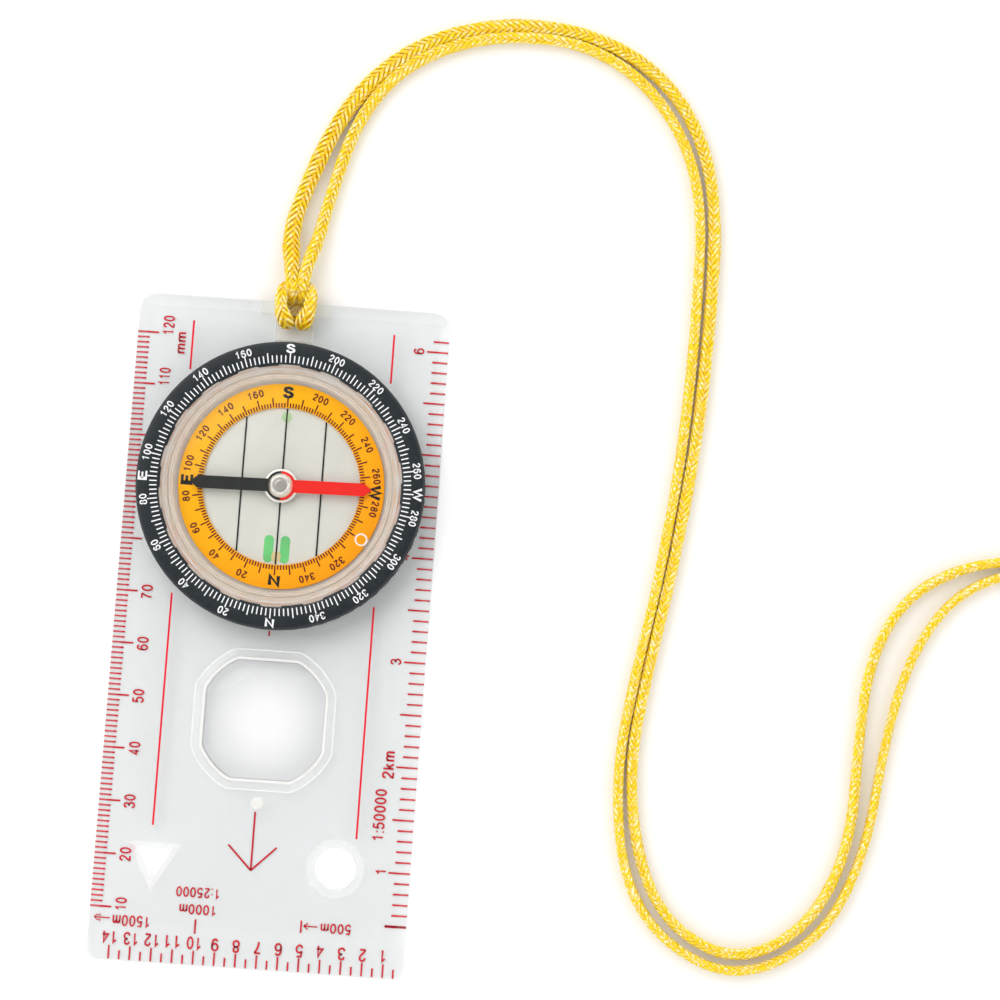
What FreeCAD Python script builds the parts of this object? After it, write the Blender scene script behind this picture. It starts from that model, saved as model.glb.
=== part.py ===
import FreeCAD, Part
import math
import os

# Baseplate compass. Millimetres, +Z up. The origin is the middle of the baseplate's underside,
# +Y runs to the lanyard end and +X to the right when the plate is seen from above.

Vector = FreeCAD.Vector
UP = Vector(0, 0, 1)

# --- Driving dimensions -------------------------------------------------------------------------
PLATE_WIDTH = 60.0
PLATE_LENGTH = 127.5
PLATE_THICKNESS = 2.8
LANYARD_END_CORNER = 3.4
RULER_END_CORNER = 1.8
SIDE_BEVEL = (1.9, 0.9)             # width and depth of the bevel along both long edges
LANYARD_END_BEVEL = (2.4, 0.9)
RULER_END_BEVEL = (7.4, 1.4)        # wide bevel that brings the ruler edge down to the map

DIAL_Y = 28.0                       # the housing's axis is at X = 0 and this Y
HOUSING_BORE_R = 18.88
SPIGOT_R = 18.80                    # 0.08 mm running clearance in the bore
COUNTERBORE_R = 20.60
COUNTERBORE_DEPTH = 1.2

RING_R = 27.5
RING_INNER_R = 23.27
RING_BOTTOM_Z = 3.0
RING_TOP_Z = 6.6
RING_LIP_HEIGHT = 1.0               # smooth lip above the grip flutes
FLUTE_COUNT = 60
FLUTE_R = 0.9
FLUTE_DEPTH = 0.3
LUG_COUNT = 18                      # lugs that key the azimuth ring to the capsule
LUG_DEPTH = 0.35
LUG_GAP = 0.03

CAPSULE_BOTTOM_Z = 0.3
CAPSULE_FLOOR_Z = 1.3
CAPSULE_SHELF_Z = 3.4
CAPSULE_FLANGE_Z = 2.95
CAPSULE_RIM_Z = 6.2
CAPSULE_R = 23.24
CAPSULE_CAVITY_R = 20.4
CAPSULE_LOWER_R = 17.8
SEAL_R = (20.8, 21.5)
SEAL_DEPTH = 0.6

LENS_R = 22.4
LENS_FLANGE = 0.7
LENS_DOME_R = 20.0
LENS_DOME_RISE = 1.3
LENS_CENTRE_THICKNESS = 1.2
PLUG_R = 1.25
PLUG_DISTANCE = 18.6
PLUG_ANGLE = -30.0                  # degrees from +X

DISC_R = 17.7
DIAL_RING_R = (15.0, 19.65)
DIAL_RING_HEIGHT = 0.5
MARK_HEIGHT = 0.1
NORTH_BAR = (1.8, 5.2)
NORTH_BAR_SPACING = 3.1
NORTH_BAR_END = 14.6                # outer end of the north bars, from the dial's centre
MARK_DOT_R = 1.0
MARK_DOT_DISTANCE = 13.3

NEEDLE_LENGTH = 34.6
NEEDLE_WIDTH = 2.45
NEEDLE_TIP = 1.5
NEEDLE_EYE_R = 3.0
NEEDLE_Z = 4.95
NEEDLE_THICKNESS = 0.3
NEEDLE_REST_ANGLE = 1.1             # degrees from +X, with the north end towards +X
CAP_FLANGE_R = 3.2
CAP_R = 1.8
CAP_TOP_Z = 6.1
JEWEL_R = 1.35
JEWEL_Z = (5.45, 5.95)
JEWEL_CUP_DEPTH = 0.35
PIN_R = 0.3
PIN_BOTTOM_Z = 2.2
PIN_POINT = 0.7
PIN_TIP_CLEARANCE = 0.05
BUSH_R = 1.3
BUSH_FLANGE_R = 2.0
BUSH_TOP_Z = 4.1
FLUID_NEEDLE_GAP = 0.35             # space that the liquid leaves around the needle's sweep

RETAINER_R = 20.3
RETAINER_Z = (0.3, 0.95)
WASHER_R = 20.1
WASHER_TOP_Z = 1.1

MAGNIFIER_Y = -16.65
MAGNIFIER_R = 13.1
MAGNIFIER_HALF_WIDTH = 11.9
MAGNIFIER_HALF_HEIGHT = 11.75
MAGNIFIER_BEVEL = (1.5, 0.9)
MAGNIFIER_LEDGE = (0.7, 0.5)        # width and height of the ledge under the lens
MAGNIFIER_EDGE_Z = 1.5
MAGNIFIER_RISE = 1.2

CIRCLE_CENTRE = (15.7, -43.65)
CIRCLE_R = 3.9
CIRCLE_BEVEL = (1.6, 1.2)
TRIANGLE_CENTRE = (-18.7, -44.05)
TRIANGLE_SIDE = 7.0
TRIANGLE_BEVEL_SIDE = 10.4
TRIANGLE_BEVEL_DEPTH = 1.2

SLOT_HALF_WIDTH = 3.55
SLOT_Y = (56.25, 61.35)
BAR_HALF_WIDTH = 6.7
BAR_RECESS = 1.4                    # the lanyard bar is this far above the plate's underside

CORD_DIAMETER = 2.6
CORD_R = CORD_DIAMETER / 2
HITCH_Y = (58.6, 67.5)
HITCH_HALF_WIDTH = 4.3
HITCH_TOP_Z = 5.0
HITCH_BOTTOM_Z = 0.05
HITCH_WINDOW = 1.2                  # half the gap between the hitch's two lobes
KNOT_CENTRE = (164.9, -34.5)
KNOT_R = 4.4
KNOT_LENGTH = 11.0
TAIL_LENGTH = 9.0

# The two strands lie on the surface that the plate stands on. Each list is the strand's route in X
# and Y, from the hitch on the bar to the knot that ties both ends.
LEFT_ROUTE = [
    (-1.4, 67.5), (-2, 83), (4, 101), (13, 113), (25, 119.5), (39, 122.5), (54, 121.3), (67.3, 114.3),
    (76, 102.5), (79.8, 88), (80, 68), (79, 44), (76, 18), (72, -4), (70, -21), (73, -39),
    (80, -50.5), (93, -56), (106, -48.5), (113, -33), (113.5, -13), (114.5, 2), (120, 14.5),
    (130, 21.5), (142, 24), (155, 24), (165, 18), (169, 6), (169, -6), (166.5, -19), (166.4, -31),
]
RIGHT_ROUTE = [
    (1.4, 67.5), (4.2, 82), (8.5, 99), (16, 110), (27, 116.5), (40, 119.5), (52.5, 118.2),
    (64, 112), (73, 101.2), (76.8, 88), (76.8, 69), (76, 45), (73, 18), (69, -4.5), (67, -22),
    (70, -41), (78, -53), (93, -59.3), (108.5, -50.8), (116, -34), (117.5, -14), (120.5, 1), (127, 13),
    (136, 19), (146, 21), (154, 20.5), (162, 15), (165.5, 5), (165.7, -7), (163.5, -19.5),
    (163.4, -31),
]

PLATE_FRONT = -PLATE_LENGTH / 2
PLATE_BACK = PLATE_LENGTH / 2
PLATE_SIDE = PLATE_WIDTH / 2
DIAL_CENTRE = Vector(0, DIAL_Y, 0)


# --- Plain shapes -------------------------------------------------------------------------------
def box(low, high):
    """Block between two opposite corners."""
    size = [high[i] - low[i] for i in range(3)]
    return Part.makeBox(size[0], size[1], size[2], Vector(*low))


def cylinder(radius, low_z, high_z, centre=(0.0, 0.0)):
    """Upright cylinder between two heights."""
    return Part.makeCylinder(radius, high_z - low_z, Vector(centre[0], centre[1], low_z))


def ring(inner, outer, low_z, high_z):
    """Upright ring of rectangular section about the Z axis."""
    return cylinder(outer, low_z, high_z).cut(cylinder(inner, low_z - 1, high_z + 1))


def revolved(profile):
    """Solid turned about the Z axis from a closed profile of (radius, z) points."""
    points = [Vector(radius, 0, z) for radius, z in profile]
    wire = Part.makePolygon(points + points[:1])
    return Part.Face(wire).revolve(Vector(0, 0, 0), UP, 360)


def prism(points, low_z, high_z):
    """Upright prism over a closed outline of (x, y) points."""
    corners = [Vector(x, y, low_z) for x, y in points]
    face = Part.Face(Part.makePolygon(corners + corners[:1]))
    return face.extrude(Vector(0, 0, high_z - low_z))


def frustum(low_points, low_z, high_points, high_z):
    """Solid between two outlines with the same number of corners, at two heights."""
    wires = []
    for points, z in ((low_points, low_z), (high_points, high_z)):
        corners = [Vector(x, y, z) for x, y in points]
        wires.append(Part.makePolygon(corners + corners[:1]))
    return Part.makeLoft(wires, True, True)


def rounded_block(low, high, radii):
    """Block whose upright corners are round. The radii go anticlockwise from the low corner."""
    corners = [(low[0], low[1]), (high[0], low[1]), (high[0], high[1]), (low[0], high[1])]
    ways = [(1, 1), (-1, 1), (-1, -1), (1, -1)]
    block = box(low, high)
    for (x, y), (way_x, way_y), radius in zip(corners, ways, radii):
        corner = box((min(x, x + way_x * radius), min(y, y + way_y * radius), low[2]),
                     (max(x, x + way_x * radius), max(y, y + way_y * radius), high[2]))
        centre = (x + way_x * radius, y + way_y * radius)
        block = block.cut(corner.cut(cylinder(radius, low[2] - 1, high[2] + 1, centre)))
    return block


def wedge_along(start, end, width, depth, top_z):
    """Bevel cutter along a top edge, from start to end, taking width inwards and depth down."""
    along = Vector(end[0] - start[0], end[1] - start[1], 0)
    inwards = UP.cross(along).normalize()
    edge = Vector(start[0], start[1], top_z)
    corners = [
        edge + inwards * width,
        edge - inwards * width + UP * depth,
        edge - inwards * width - UP * (2 * depth),
    ]
    return Part.Face(Part.makePolygon(corners + corners[:1])).extrude(along)


def about_dial(shape):
    """Moves a shape that was made about the Z axis to the housing's axis."""
    return shape.translated(DIAL_CENTRE)


def polar(radius, degrees):
    """Point at a distance and angle from the Z axis."""
    angle = math.radians(degrees)
    return (radius * math.cos(angle), radius * math.sin(angle))


def triangle(side):
    """Corners of the tracing triangle, which points to the ruler end."""
    centre_x, centre_y = TRIANGLE_CENTRE
    reach = side / math.sqrt(3)
    corners = [polar(reach, degrees) for degrees in (-90, 30, 150)]
    return [(centre_x + x, centre_y + y) for x, y in corners]


def magnifier_outline(inset, low_z, high_z):
    """Disc with four flats, the shape of the magnifier, made smaller all round by inset."""
    disc = cylinder(MAGNIFIER_R - inset, low_z, high_z)
    half_x = MAGNIFIER_HALF_WIDTH - inset
    half_y = MAGNIFIER_HALF_HEIGHT - inset
    return disc.common(box((-half_x, -half_y, low_z), (half_x, half_y, high_z)))


def spherical_cap(radius, base_z, rise):
    """Domed cap of a sphere on a circle of the given radius."""
    sphere_r = (radius ** 2 + rise ** 2) / (2 * rise)
    ball = Part.makeSphere(sphere_r, Vector(0, 0, base_z + rise - sphere_r))
    return ball.common(cylinder(radius, base_z, base_z + rise + 1))


# --- Baseplate and magnifier --------------------------------------------------------------------
def magnifier_bevel():
    """Cutter for the sloping frame around the magnifier: a cone with four sloping flats."""
    width, depth = MAGNIFIER_BEVEL
    low_z = PLATE_THICKNESS - depth
    cone = Part.makeCone(MAGNIFIER_R, MAGNIFIER_R + 2 * width, 2 * depth, Vector(0, 0, low_z))
    half_x = MAGNIFIER_HALF_WIDTH
    half_y = MAGNIFIER_HALF_HEIGHT
    low = [(-half_x, -half_y), (half_x, -half_y), (half_x, half_y), (-half_x, half_y)]
    spread = 2 * width
    high = [(x + math.copysign(spread, x), y + math.copysign(spread, y)) for x, y in low]
    return cone.common(frustum(low, low_z, high, low_z + 2 * depth))


def make_baseplate():
    plate = rounded_block(
        (-PLATE_SIDE, PLATE_FRONT, 0), (PLATE_SIDE, PLATE_BACK, PLATE_THICKNESS),
        [RULER_END_CORNER, RULER_END_CORNER, LANYARD_END_CORNER, LANYARD_END_CORNER])
    reach = 5.0
    corners = [(PLATE_SIDE, PLATE_FRONT - reach), (PLATE_SIDE, PLATE_BACK + reach),
               (-PLATE_SIDE, PLATE_BACK + reach), (-PLATE_SIDE, PLATE_FRONT - reach)]
    plate = plate.cut(wedge_along(corners[0], corners[1], *SIDE_BEVEL, PLATE_THICKNESS))
    plate = plate.cut(wedge_along(corners[2], corners[3], *SIDE_BEVEL, PLATE_THICKNESS))
    back = [(PLATE_SIDE + reach, PLATE_BACK), (-PLATE_SIDE - reach, PLATE_BACK)]
    plate = plate.cut(wedge_along(back[0], back[1], *LANYARD_END_BEVEL, PLATE_THICKNESS))
    front = [(-PLATE_SIDE - reach, PLATE_FRONT), (PLATE_SIDE + reach, PLATE_FRONT)]
    plate = plate.cut(wedge_along(front[0], front[1], *RULER_END_BEVEL, PLATE_THICKNESS))

    bore = cylinder(HOUSING_BORE_R, -1, PLATE_THICKNESS + 1)
    counterbore = cylinder(COUNTERBORE_R, -1, COUNTERBORE_DEPTH)
    plate = plate.cut(about_dial(bore.fuse(counterbore)))

    ledge_width, ledge_height = MAGNIFIER_LEDGE
    window = magnifier_outline(0, ledge_height, PLATE_THICKNESS + 1)
    window = window.fuse(magnifier_outline(ledge_width, -1, ledge_height))
    window = window.fuse(magnifier_bevel())
    plate = plate.cut(window.translated(Vector(0, MAGNIFIER_Y, 0)))

    bevel_width, bevel_depth = CIRCLE_BEVEL
    cone = Part.makeCone(CIRCLE_R, CIRCLE_R + 2 * bevel_width, 2 * bevel_depth,
                         Vector(*CIRCLE_CENTRE, PLATE_THICKNESS - bevel_depth))
    plate = plate.cut(cone.fuse(cylinder(CIRCLE_R, -1, PLATE_THICKNESS, CIRCLE_CENTRE)))

    bevel_z = PLATE_THICKNESS - TRIANGLE_BEVEL_DEPTH
    wide = triangle(2 * TRIANGLE_BEVEL_SIDE - TRIANGLE_SIDE)
    slope = frustum(triangle(TRIANGLE_SIDE), bevel_z, wide, bevel_z + 2 * TRIANGLE_BEVEL_DEPTH)
    plate = plate.cut(slope.fuse(prism(triangle(TRIANGLE_SIDE), -1, PLATE_THICKNESS)))

    slot = box((-SLOT_HALF_WIDTH, SLOT_Y[0], -1), (SLOT_HALF_WIDTH, SLOT_Y[1], PLATE_THICKNESS + 1))
    recess = box((-BAR_HALF_WIDTH, SLOT_Y[1], -1), (BAR_HALF_WIDTH, PLATE_BACK + 1, BAR_RECESS))
    return plate.cut(slot).cut(recess)


def make_magnifier_lens():
    ledge_height = MAGNIFIER_LEDGE[1]
    body = magnifier_outline(0, ledge_height, MAGNIFIER_EDGE_Z + MAGNIFIER_RISE + 1)
    sphere_r = (MAGNIFIER_R ** 2 + MAGNIFIER_RISE ** 2) / (2 * MAGNIFIER_RISE)
    top_z = MAGNIFIER_EDGE_Z + MAGNIFIER_RISE
    lens = body.common(Part.makeSphere(sphere_r, Vector(0, 0, top_z - sphere_r)))
    return lens.translated(Vector(0, MAGNIFIER_Y, 0))


# --- Housing ------------------------------------------------------------------------------------
def lug_sectors(inner, outer, low_z, high_z, spare):
    """Evenly spaced blocks between two radii, each half a pitch wide, narrower by spare."""
    pitch = 360.0 / LUG_COUNT
    half_angle = pitch / 4 - math.degrees(spare / inner)
    sectors = []
    for index in range(LUG_COUNT):
        sector = Part.makeCylinder(outer, high_z - low_z, Vector(0, 0, low_z), UP, 2 * half_angle)
        sector = sector.cut(cylinder(inner, low_z - 1, high_z + 1))
        sectors.append(sector.rotated(Vector(0, 0, 0), UP, index * pitch - half_angle))
    return sectors


def make_azimuth_ring():
    top_edge = 0.4
    profile = [
        (RING_INNER_R, RING_BOTTOM_Z), (RING_R - top_edge, RING_BOTTOM_Z),
        (RING_R, RING_BOTTOM_Z + top_edge), (RING_R, RING_TOP_Z - top_edge),
        (RING_R - top_edge, RING_TOP_Z), (RING_INNER_R, RING_TOP_Z),
    ]
    shape = revolved(profile)
    flutes = []
    for index in range(FLUTE_COUNT):
        centre = polar(RING_R + FLUTE_R - FLUTE_DEPTH, index * 360.0 / FLUTE_COUNT)
        flutes.append(cylinder(FLUTE_R, RING_BOTTOM_Z - 1, RING_TOP_Z - RING_LIP_HEIGHT, centre))
    shape = shape.cut(Part.makeCompound(flutes))
    reach_in = RING_INNER_R - LUG_DEPTH
    lugs = lug_sectors(reach_in, RING_INNER_R + 0.5, RING_BOTTOM_Z, RING_TOP_Z, LUG_GAP)
    return about_dial(shape.fuse(lugs))


def make_capsule_base():
    profile = [
        (0, CAPSULE_BOTTOM_Z), (SPIGOT_R, CAPSULE_BOTTOM_Z), (SPIGOT_R, CAPSULE_FLANGE_Z),
        (CAPSULE_R, CAPSULE_FLANGE_Z), (CAPSULE_R, CAPSULE_RIM_Z), (SEAL_R[1], CAPSULE_RIM_Z),
        (SEAL_R[1], CAPSULE_RIM_Z - SEAL_DEPTH), (SEAL_R[0], CAPSULE_RIM_Z - SEAL_DEPTH),
        (SEAL_R[0], CAPSULE_RIM_Z), (CAPSULE_CAVITY_R, CAPSULE_RIM_Z),
        (CAPSULE_CAVITY_R, CAPSULE_SHELF_Z), (CAPSULE_LOWER_R, CAPSULE_SHELF_Z),
        (CAPSULE_LOWER_R, CAPSULE_FLOOR_Z), (0, CAPSULE_FLOOR_Z),
    ]
    shape = revolved(profile)
    depth_r = RING_INNER_R - LUG_DEPTH - LUG_GAP
    notches = lug_sectors(depth_r, CAPSULE_R + 1, CAPSULE_FLANGE_Z - 1, CAPSULE_RIM_Z + 1, 0)
    return about_dial(shape.cut(Part.makeCompound(notches)))


def make_capsule_seal():
    return about_dial(ring(SEAL_R[0], SEAL_R[1], CAPSULE_RIM_Z - SEAL_DEPTH, CAPSULE_RIM_Z))


def plain_lens():
    """Capsule lens about the Z axis, before the hole for the filler plug."""
    flange_top = CAPSULE_RIM_Z + LENS_FLANGE
    outside = cylinder(LENS_R, CAPSULE_RIM_Z, flange_top)
    outside = outside.fuse(spherical_cap(LENS_DOME_R, flange_top, LENS_DOME_RISE))
    inner_rise = LENS_FLANGE + LENS_DOME_RISE - LENS_CENTRE_THICKNESS
    return outside.cut(spherical_cap(LENS_DOME_R, CAPSULE_RIM_Z, inner_rise))


def plug_column():
    """Column that the filler plug is cut from."""
    return cylinder(PLUG_R, CAPSULE_RIM_Z - 1, CAPSULE_RIM_Z + 4, polar(PLUG_DISTANCE, PLUG_ANGLE))


def make_capsule_lens():
    return about_dial(plain_lens().cut(plug_column()))


def make_filler_plug():
    return about_dial(plain_lens().common(plug_column()))


def make_dial_disc():
    shape = cylinder(DISC_R, CAPSULE_FLOOR_Z, CAPSULE_SHELF_Z)
    return about_dial(shape.cut(cylinder(BUSH_R, CAPSULE_FLOOR_Z - 1, CAPSULE_SHELF_Z + 1)))


def make_dial_ring():
    top_z = CAPSULE_SHELF_Z + DIAL_RING_HEIGHT
    return about_dial(ring(DIAL_RING_R[0], DIAL_RING_R[1], CAPSULE_SHELF_Z, top_z))


def make_luminous_marks():
    """Two bars at north and a dot at each of the other quarters, laid on the dial disc."""
    low_z = CAPSULE_SHELF_Z
    high_z = low_z + MARK_HEIGHT
    bar_width, bar_length = NORTH_BAR
    radius = bar_width * 0.49
    marks = []
    for side in (-1, 1):
        middle = side * NORTH_BAR_SPACING / 2
        marks.append(rounded_block(
            (middle - bar_width / 2, -NORTH_BAR_END, low_z),
            (middle + bar_width / 2, -NORTH_BAR_END + bar_length, high_z), [radius] * 4))
    for degrees in (0, 90, 180):
        marks.append(cylinder(MARK_DOT_R, low_z, high_z, polar(MARK_DOT_DISTANCE, degrees)))
    return about_dial(Part.makeCompound(marks))


def make_pivot_bush():
    profile = [
        (PIN_R, CAPSULE_FLOOR_Z), (BUSH_R, CAPSULE_FLOOR_Z), (BUSH_R, CAPSULE_SHELF_Z),
        (BUSH_FLANGE_R, CAPSULE_SHELF_Z), (BUSH_FLANGE_R, CAPSULE_SHELF_Z + 0.3),
        (BUSH_R * 0.7, BUSH_TOP_Z), (PIN_R, BUSH_TOP_Z),
    ]
    return about_dial(revolved(profile))


def make_pivot_pin():
    tip_z = JEWEL_Z[0] + JEWEL_CUP_DEPTH - PIN_TIP_CLEARANCE
    profile = [(0, PIN_BOTTOM_Z), (PIN_R, PIN_BOTTOM_Z), (PIN_R, tip_z - PIN_POINT), (0, tip_z)]
    return about_dial(revolved(profile))


def make_damping_fluid():
    """Liquid in the capsule, without the space that the needle and its cap sweep."""
    flange_top = CAPSULE_RIM_Z
    liquid = cylinder(CAPSULE_CAVITY_R, CAPSULE_SHELF_Z, flange_top)
    inner_rise = LENS_FLANGE + LENS_DOME_RISE - LENS_CENTRE_THICKNESS
    liquid = liquid.fuse(spherical_cap(LENS_DOME_R, flange_top, inner_rise))
    liquid = liquid.cut(cylinder(DIAL_RING_R[1], CAPSULE_SHELF_Z - 1,
                                 CAPSULE_SHELF_Z + DIAL_RING_HEIGHT))
    sweep_r = NEEDLE_LENGTH / 2 + FLUID_NEEDLE_GAP
    sweep = cylinder(sweep_r, NEEDLE_Z - FLUID_NEEDLE_GAP,
                     NEEDLE_Z + NEEDLE_THICKNESS + FLUID_NEEDLE_GAP)
    hub = cylinder(CAP_FLANGE_R + FLUID_NEEDLE_GAP, CAPSULE_SHELF_Z - 1,
                   CAP_TOP_Z + FLUID_NEEDLE_GAP)
    return about_dial(liquid.cut(sweep.fuse(hub)))


def make_retaining_ring():
    return about_dial(ring(SPIGOT_R, RETAINER_R, RETAINER_Z[0], RETAINER_Z[1]))


def make_friction_washer():
    return about_dial(ring(SPIGOT_R, WASHER_R, RETAINER_Z[1], WASHER_TOP_Z))


# --- Needle -------------------------------------------------------------------------------------
def place_needle(shape):
    return about_dial(shape.rotated(Vector(0, 0, 0), UP, NEEDLE_REST_ANGLE))


def make_needle_blade():
    half_length = NEEDLE_LENGTH / 2
    half_width = NEEDLE_WIDTH / 2
    shoulder = half_length - NEEDLE_TIP
    outline = [
        (-half_length, 0), (-shoulder, -half_width), (shoulder, -half_width),
        (half_length, 0), (shoulder, half_width), (-shoulder, half_width),
    ]
    top_z = NEEDLE_Z + NEEDLE_THICKNESS
    blade = prism(outline, NEEDLE_Z, top_z).fuse(cylinder(NEEDLE_EYE_R, NEEDLE_Z, top_z))
    return place_needle(blade.cut(cylinder(CAP_R, NEEDLE_Z - 1, top_z + 1)).removeSplitter())


def make_needle_cap():
    flange_z = NEEDLE_Z - 0.2
    profile = [
        (JEWEL_R, flange_z), (CAP_FLANGE_R, flange_z), (CAP_FLANGE_R, NEEDLE_Z),
        (CAP_R, NEEDLE_Z), (CAP_R, CAP_TOP_Z - 0.2), (CAP_R - 0.2, CAP_TOP_Z), (JEWEL_R, CAP_TOP_Z),
    ]
    return place_needle(revolved(profile))


def make_jewel_bearing():
    profile = [
        (0, JEWEL_Z[0] + JEWEL_CUP_DEPTH), (PIN_R * 1.6, JEWEL_Z[0]), (JEWEL_R, JEWEL_Z[0]),
        (JEWEL_R, JEWEL_Z[1]), (0, JEWEL_Z[1]),
    ]
    return place_needle(revolved(profile))


# --- Lanyard ------------------------------------------------------------------------------------
def make_lanyard_hitch():
    """Lark's head around the bar: down the slot, under the bar, and across outside the edge."""
    low_y, high_y = HITCH_Y
    half = HITCH_HALF_WIDTH
    slot_half = SLOT_HALF_WIDTH - 0.1
    in_slot = box((-slot_half, low_y, HITCH_BOTTOM_Z), (slot_half, SLOT_Y[1], PLATE_THICKNESS))
    under = box((-slot_half, low_y, HITCH_BOTTOM_Z), (slot_half, high_y, BAR_RECESS))
    across = rounded_block((-half, PLATE_BACK, BAR_RECESS), (half, high_y, HITCH_TOP_Z),
                           [0.5, 0.5, 2.5, 2.5])
    hitch = in_slot.fuse([under, across])
    for side in (-1, 1):
        near_x, far_x = sorted((side * HITCH_WINDOW, side * half))
        lobe = box((near_x, low_y, PLATE_THICKNESS), (far_x, PLATE_BACK + 1, HITCH_TOP_Z))
        hitch = hitch.fuse(lobe)
    return hitch.removeSplitter()


def route_path(route, height):
    """Straight runs joined by tangent arcs. Returns the wire, its length and the arc radii."""
    points = [Vector(x, y, height) for x, y in route]
    edges = []
    radii = []
    start = points[0]
    for before, corner, after in zip(points, points[1:], points[2:]):
        run_in = corner - before
        run_out = after - corner
        cut_back = 0.45 * min(run_in.Length, run_out.Length)
        turn = run_in.getAngle(run_out)
        radii.append(cut_back / math.tan(turn / 2))
        way_in = Vector(run_in).normalize()
        way_out = Vector(run_out).normalize()
        arc_start = corner - way_in * cut_back
        arc_end = corner + way_out * cut_back
        inwards = (way_out - way_in).normalize()
        middle = corner + inwards * (math.hypot(cut_back, radii[-1]) - radii[-1])
        edges.append(Part.LineSegment(start, arc_start).toShape())
        edges.append(Part.Arc(arc_start, middle, arc_end).toShape())
        start = arc_end
    edges.append(Part.LineSegment(start, points[-1]).toShape())
    wire = Part.Wire(edges)
    return wire, wire.Length, radii


def make_strand(name, route):
    """One strand as a plain round tube along its route."""
    wire, length, radii = route_path(route, CORD_R)
    first_run = Vector(route[1][0] - route[0][0], route[1][1] - route[0][1], 0)
    section = Part.Wire(Part.makeCircle(CORD_R, Vector(*route[0], CORD_R), first_run))
    tube = wire.makePipeShell([section], True, False)
    expected = math.pi * CORD_R ** 2 * length
    print(name, "length %.1f mm, tightest arc %.1f mm" % (length, min(radii)))
    print(name, "arc radii", [round(radius) for radius in radii])
    print(name, "volume over section times length %.4f" % (tube.Volume / expected))
    return tube


def make_end_knot():
    """Overhand knot as a barrel along Y, with the two cord tails beyond it."""
    half = KNOT_LENGTH / 2
    arc_r = (half ** 2 + KNOT_R ** 2) / (2 * KNOT_R)
    centre = Vector(KNOT_CENTRE[0], KNOT_CENTRE[1], KNOT_R)
    ends = [Vector(0, -half, 0), Vector(0, half, 0)]
    side = Part.Arc(ends[0], Vector(KNOT_R, 0, 0), ends[1]).toShape()
    face = Part.Face(Part.Wire([side, Part.LineSegment(ends[1], ends[0]).toShape()]))
    barrel = face.revolve(Vector(0, 0, 0), Vector(0, 1, 0), 360)
    barrel = barrel.common(Part.makeBox(4 * KNOT_R, KNOT_LENGTH - 2, 4 * KNOT_R,
                                        Vector(-2 * KNOT_R, 1 - half, -2 * KNOT_R)))
    knot = barrel.translated(centre)
    for side_x in (-1, 1):
        tail_start = Vector(KNOT_CENTRE[0] + side_x * 1.45, KNOT_CENTRE[1], CORD_R)
        tail = Part.makeCylinder(CORD_R, half + TAIL_LENGTH, tail_start, Vector(0, -1, 0))
        knot = knot.fuse(tail)
    return knot


def main():
    os.makedirs("parts", exist_ok=True)
    knot = make_end_knot()
    nodes = {
        "baseplate": make_baseplate(),
        "magnifier_lens": make_magnifier_lens(),
        "azimuth_ring": make_azimuth_ring(),
        "capsule_base": make_capsule_base(),
        "capsule_seal": make_capsule_seal(),
        "capsule_lens": make_capsule_lens(),
        "filler_plug": make_filler_plug(),
        "dial_disc": make_dial_disc(),
        "dial_ring": make_dial_ring(),
        "luminous_marks": make_luminous_marks(),
        "damping_fluid": make_damping_fluid(),
        "pivot_bush": make_pivot_bush(),
        "pivot_pin": make_pivot_pin(),
        "retaining_ring": make_retaining_ring(),
        "friction_washer": make_friction_washer(),
        "needle_blade": make_needle_blade(),
        "needle_cap": make_needle_cap(),
        "jewel_bearing": make_jewel_bearing(),
        "lanyard_hitch": make_lanyard_hitch(),
        "lanyard_strand_left": make_strand("lanyard_strand_left", LEFT_ROUTE).cut(knot),
        "lanyard_strand_right": make_strand("lanyard_strand_right", RIGHT_ROUTE).cut(knot),
        "lanyard_end_knot": knot,
    }
    for name, shape in nodes.items():
        shape.exportStep("parts/%s.step" % name)
        print(name, "solids", len(shape.Solids), "valid", shape.isValid(),
              "volume %.2f" % shape.Volume)


main()
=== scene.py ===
import math

import bmesh
import bpy
import numpy as np
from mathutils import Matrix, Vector


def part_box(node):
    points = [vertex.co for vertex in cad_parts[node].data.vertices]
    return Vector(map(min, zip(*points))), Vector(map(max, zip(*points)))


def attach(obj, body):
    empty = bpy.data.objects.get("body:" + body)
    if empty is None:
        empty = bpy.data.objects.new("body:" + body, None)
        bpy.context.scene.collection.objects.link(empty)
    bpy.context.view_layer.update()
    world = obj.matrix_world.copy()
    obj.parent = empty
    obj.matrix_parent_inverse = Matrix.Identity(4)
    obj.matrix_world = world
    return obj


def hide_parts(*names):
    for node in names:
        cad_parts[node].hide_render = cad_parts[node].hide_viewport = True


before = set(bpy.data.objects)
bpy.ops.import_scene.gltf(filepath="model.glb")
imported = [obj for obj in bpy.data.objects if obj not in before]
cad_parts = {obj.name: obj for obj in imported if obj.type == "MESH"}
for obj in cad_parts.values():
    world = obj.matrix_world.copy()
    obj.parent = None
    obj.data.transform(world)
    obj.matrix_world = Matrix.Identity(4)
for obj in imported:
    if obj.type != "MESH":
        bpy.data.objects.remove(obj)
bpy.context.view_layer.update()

# Baseplate compass. The working functions take millimetres, +Z up, with the origin in the middle of
# the baseplate's underside. put_piece turns millimetres into metres as it makes each mesh.

MM = 0.001
UP = np.array([0.0, 0.0, 1.0])


# --- Camera -------------------------------------------------------------------------------------
LENS_LENGTH = 85.0
SENSOR_WIDTH = 36.0
CAMERA_PLACE = (38.911, -6.727, 453.715)
CAMERA_TURN = (4.463, -0.371, 4.119)        # degrees about X, Y and Z


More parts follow.
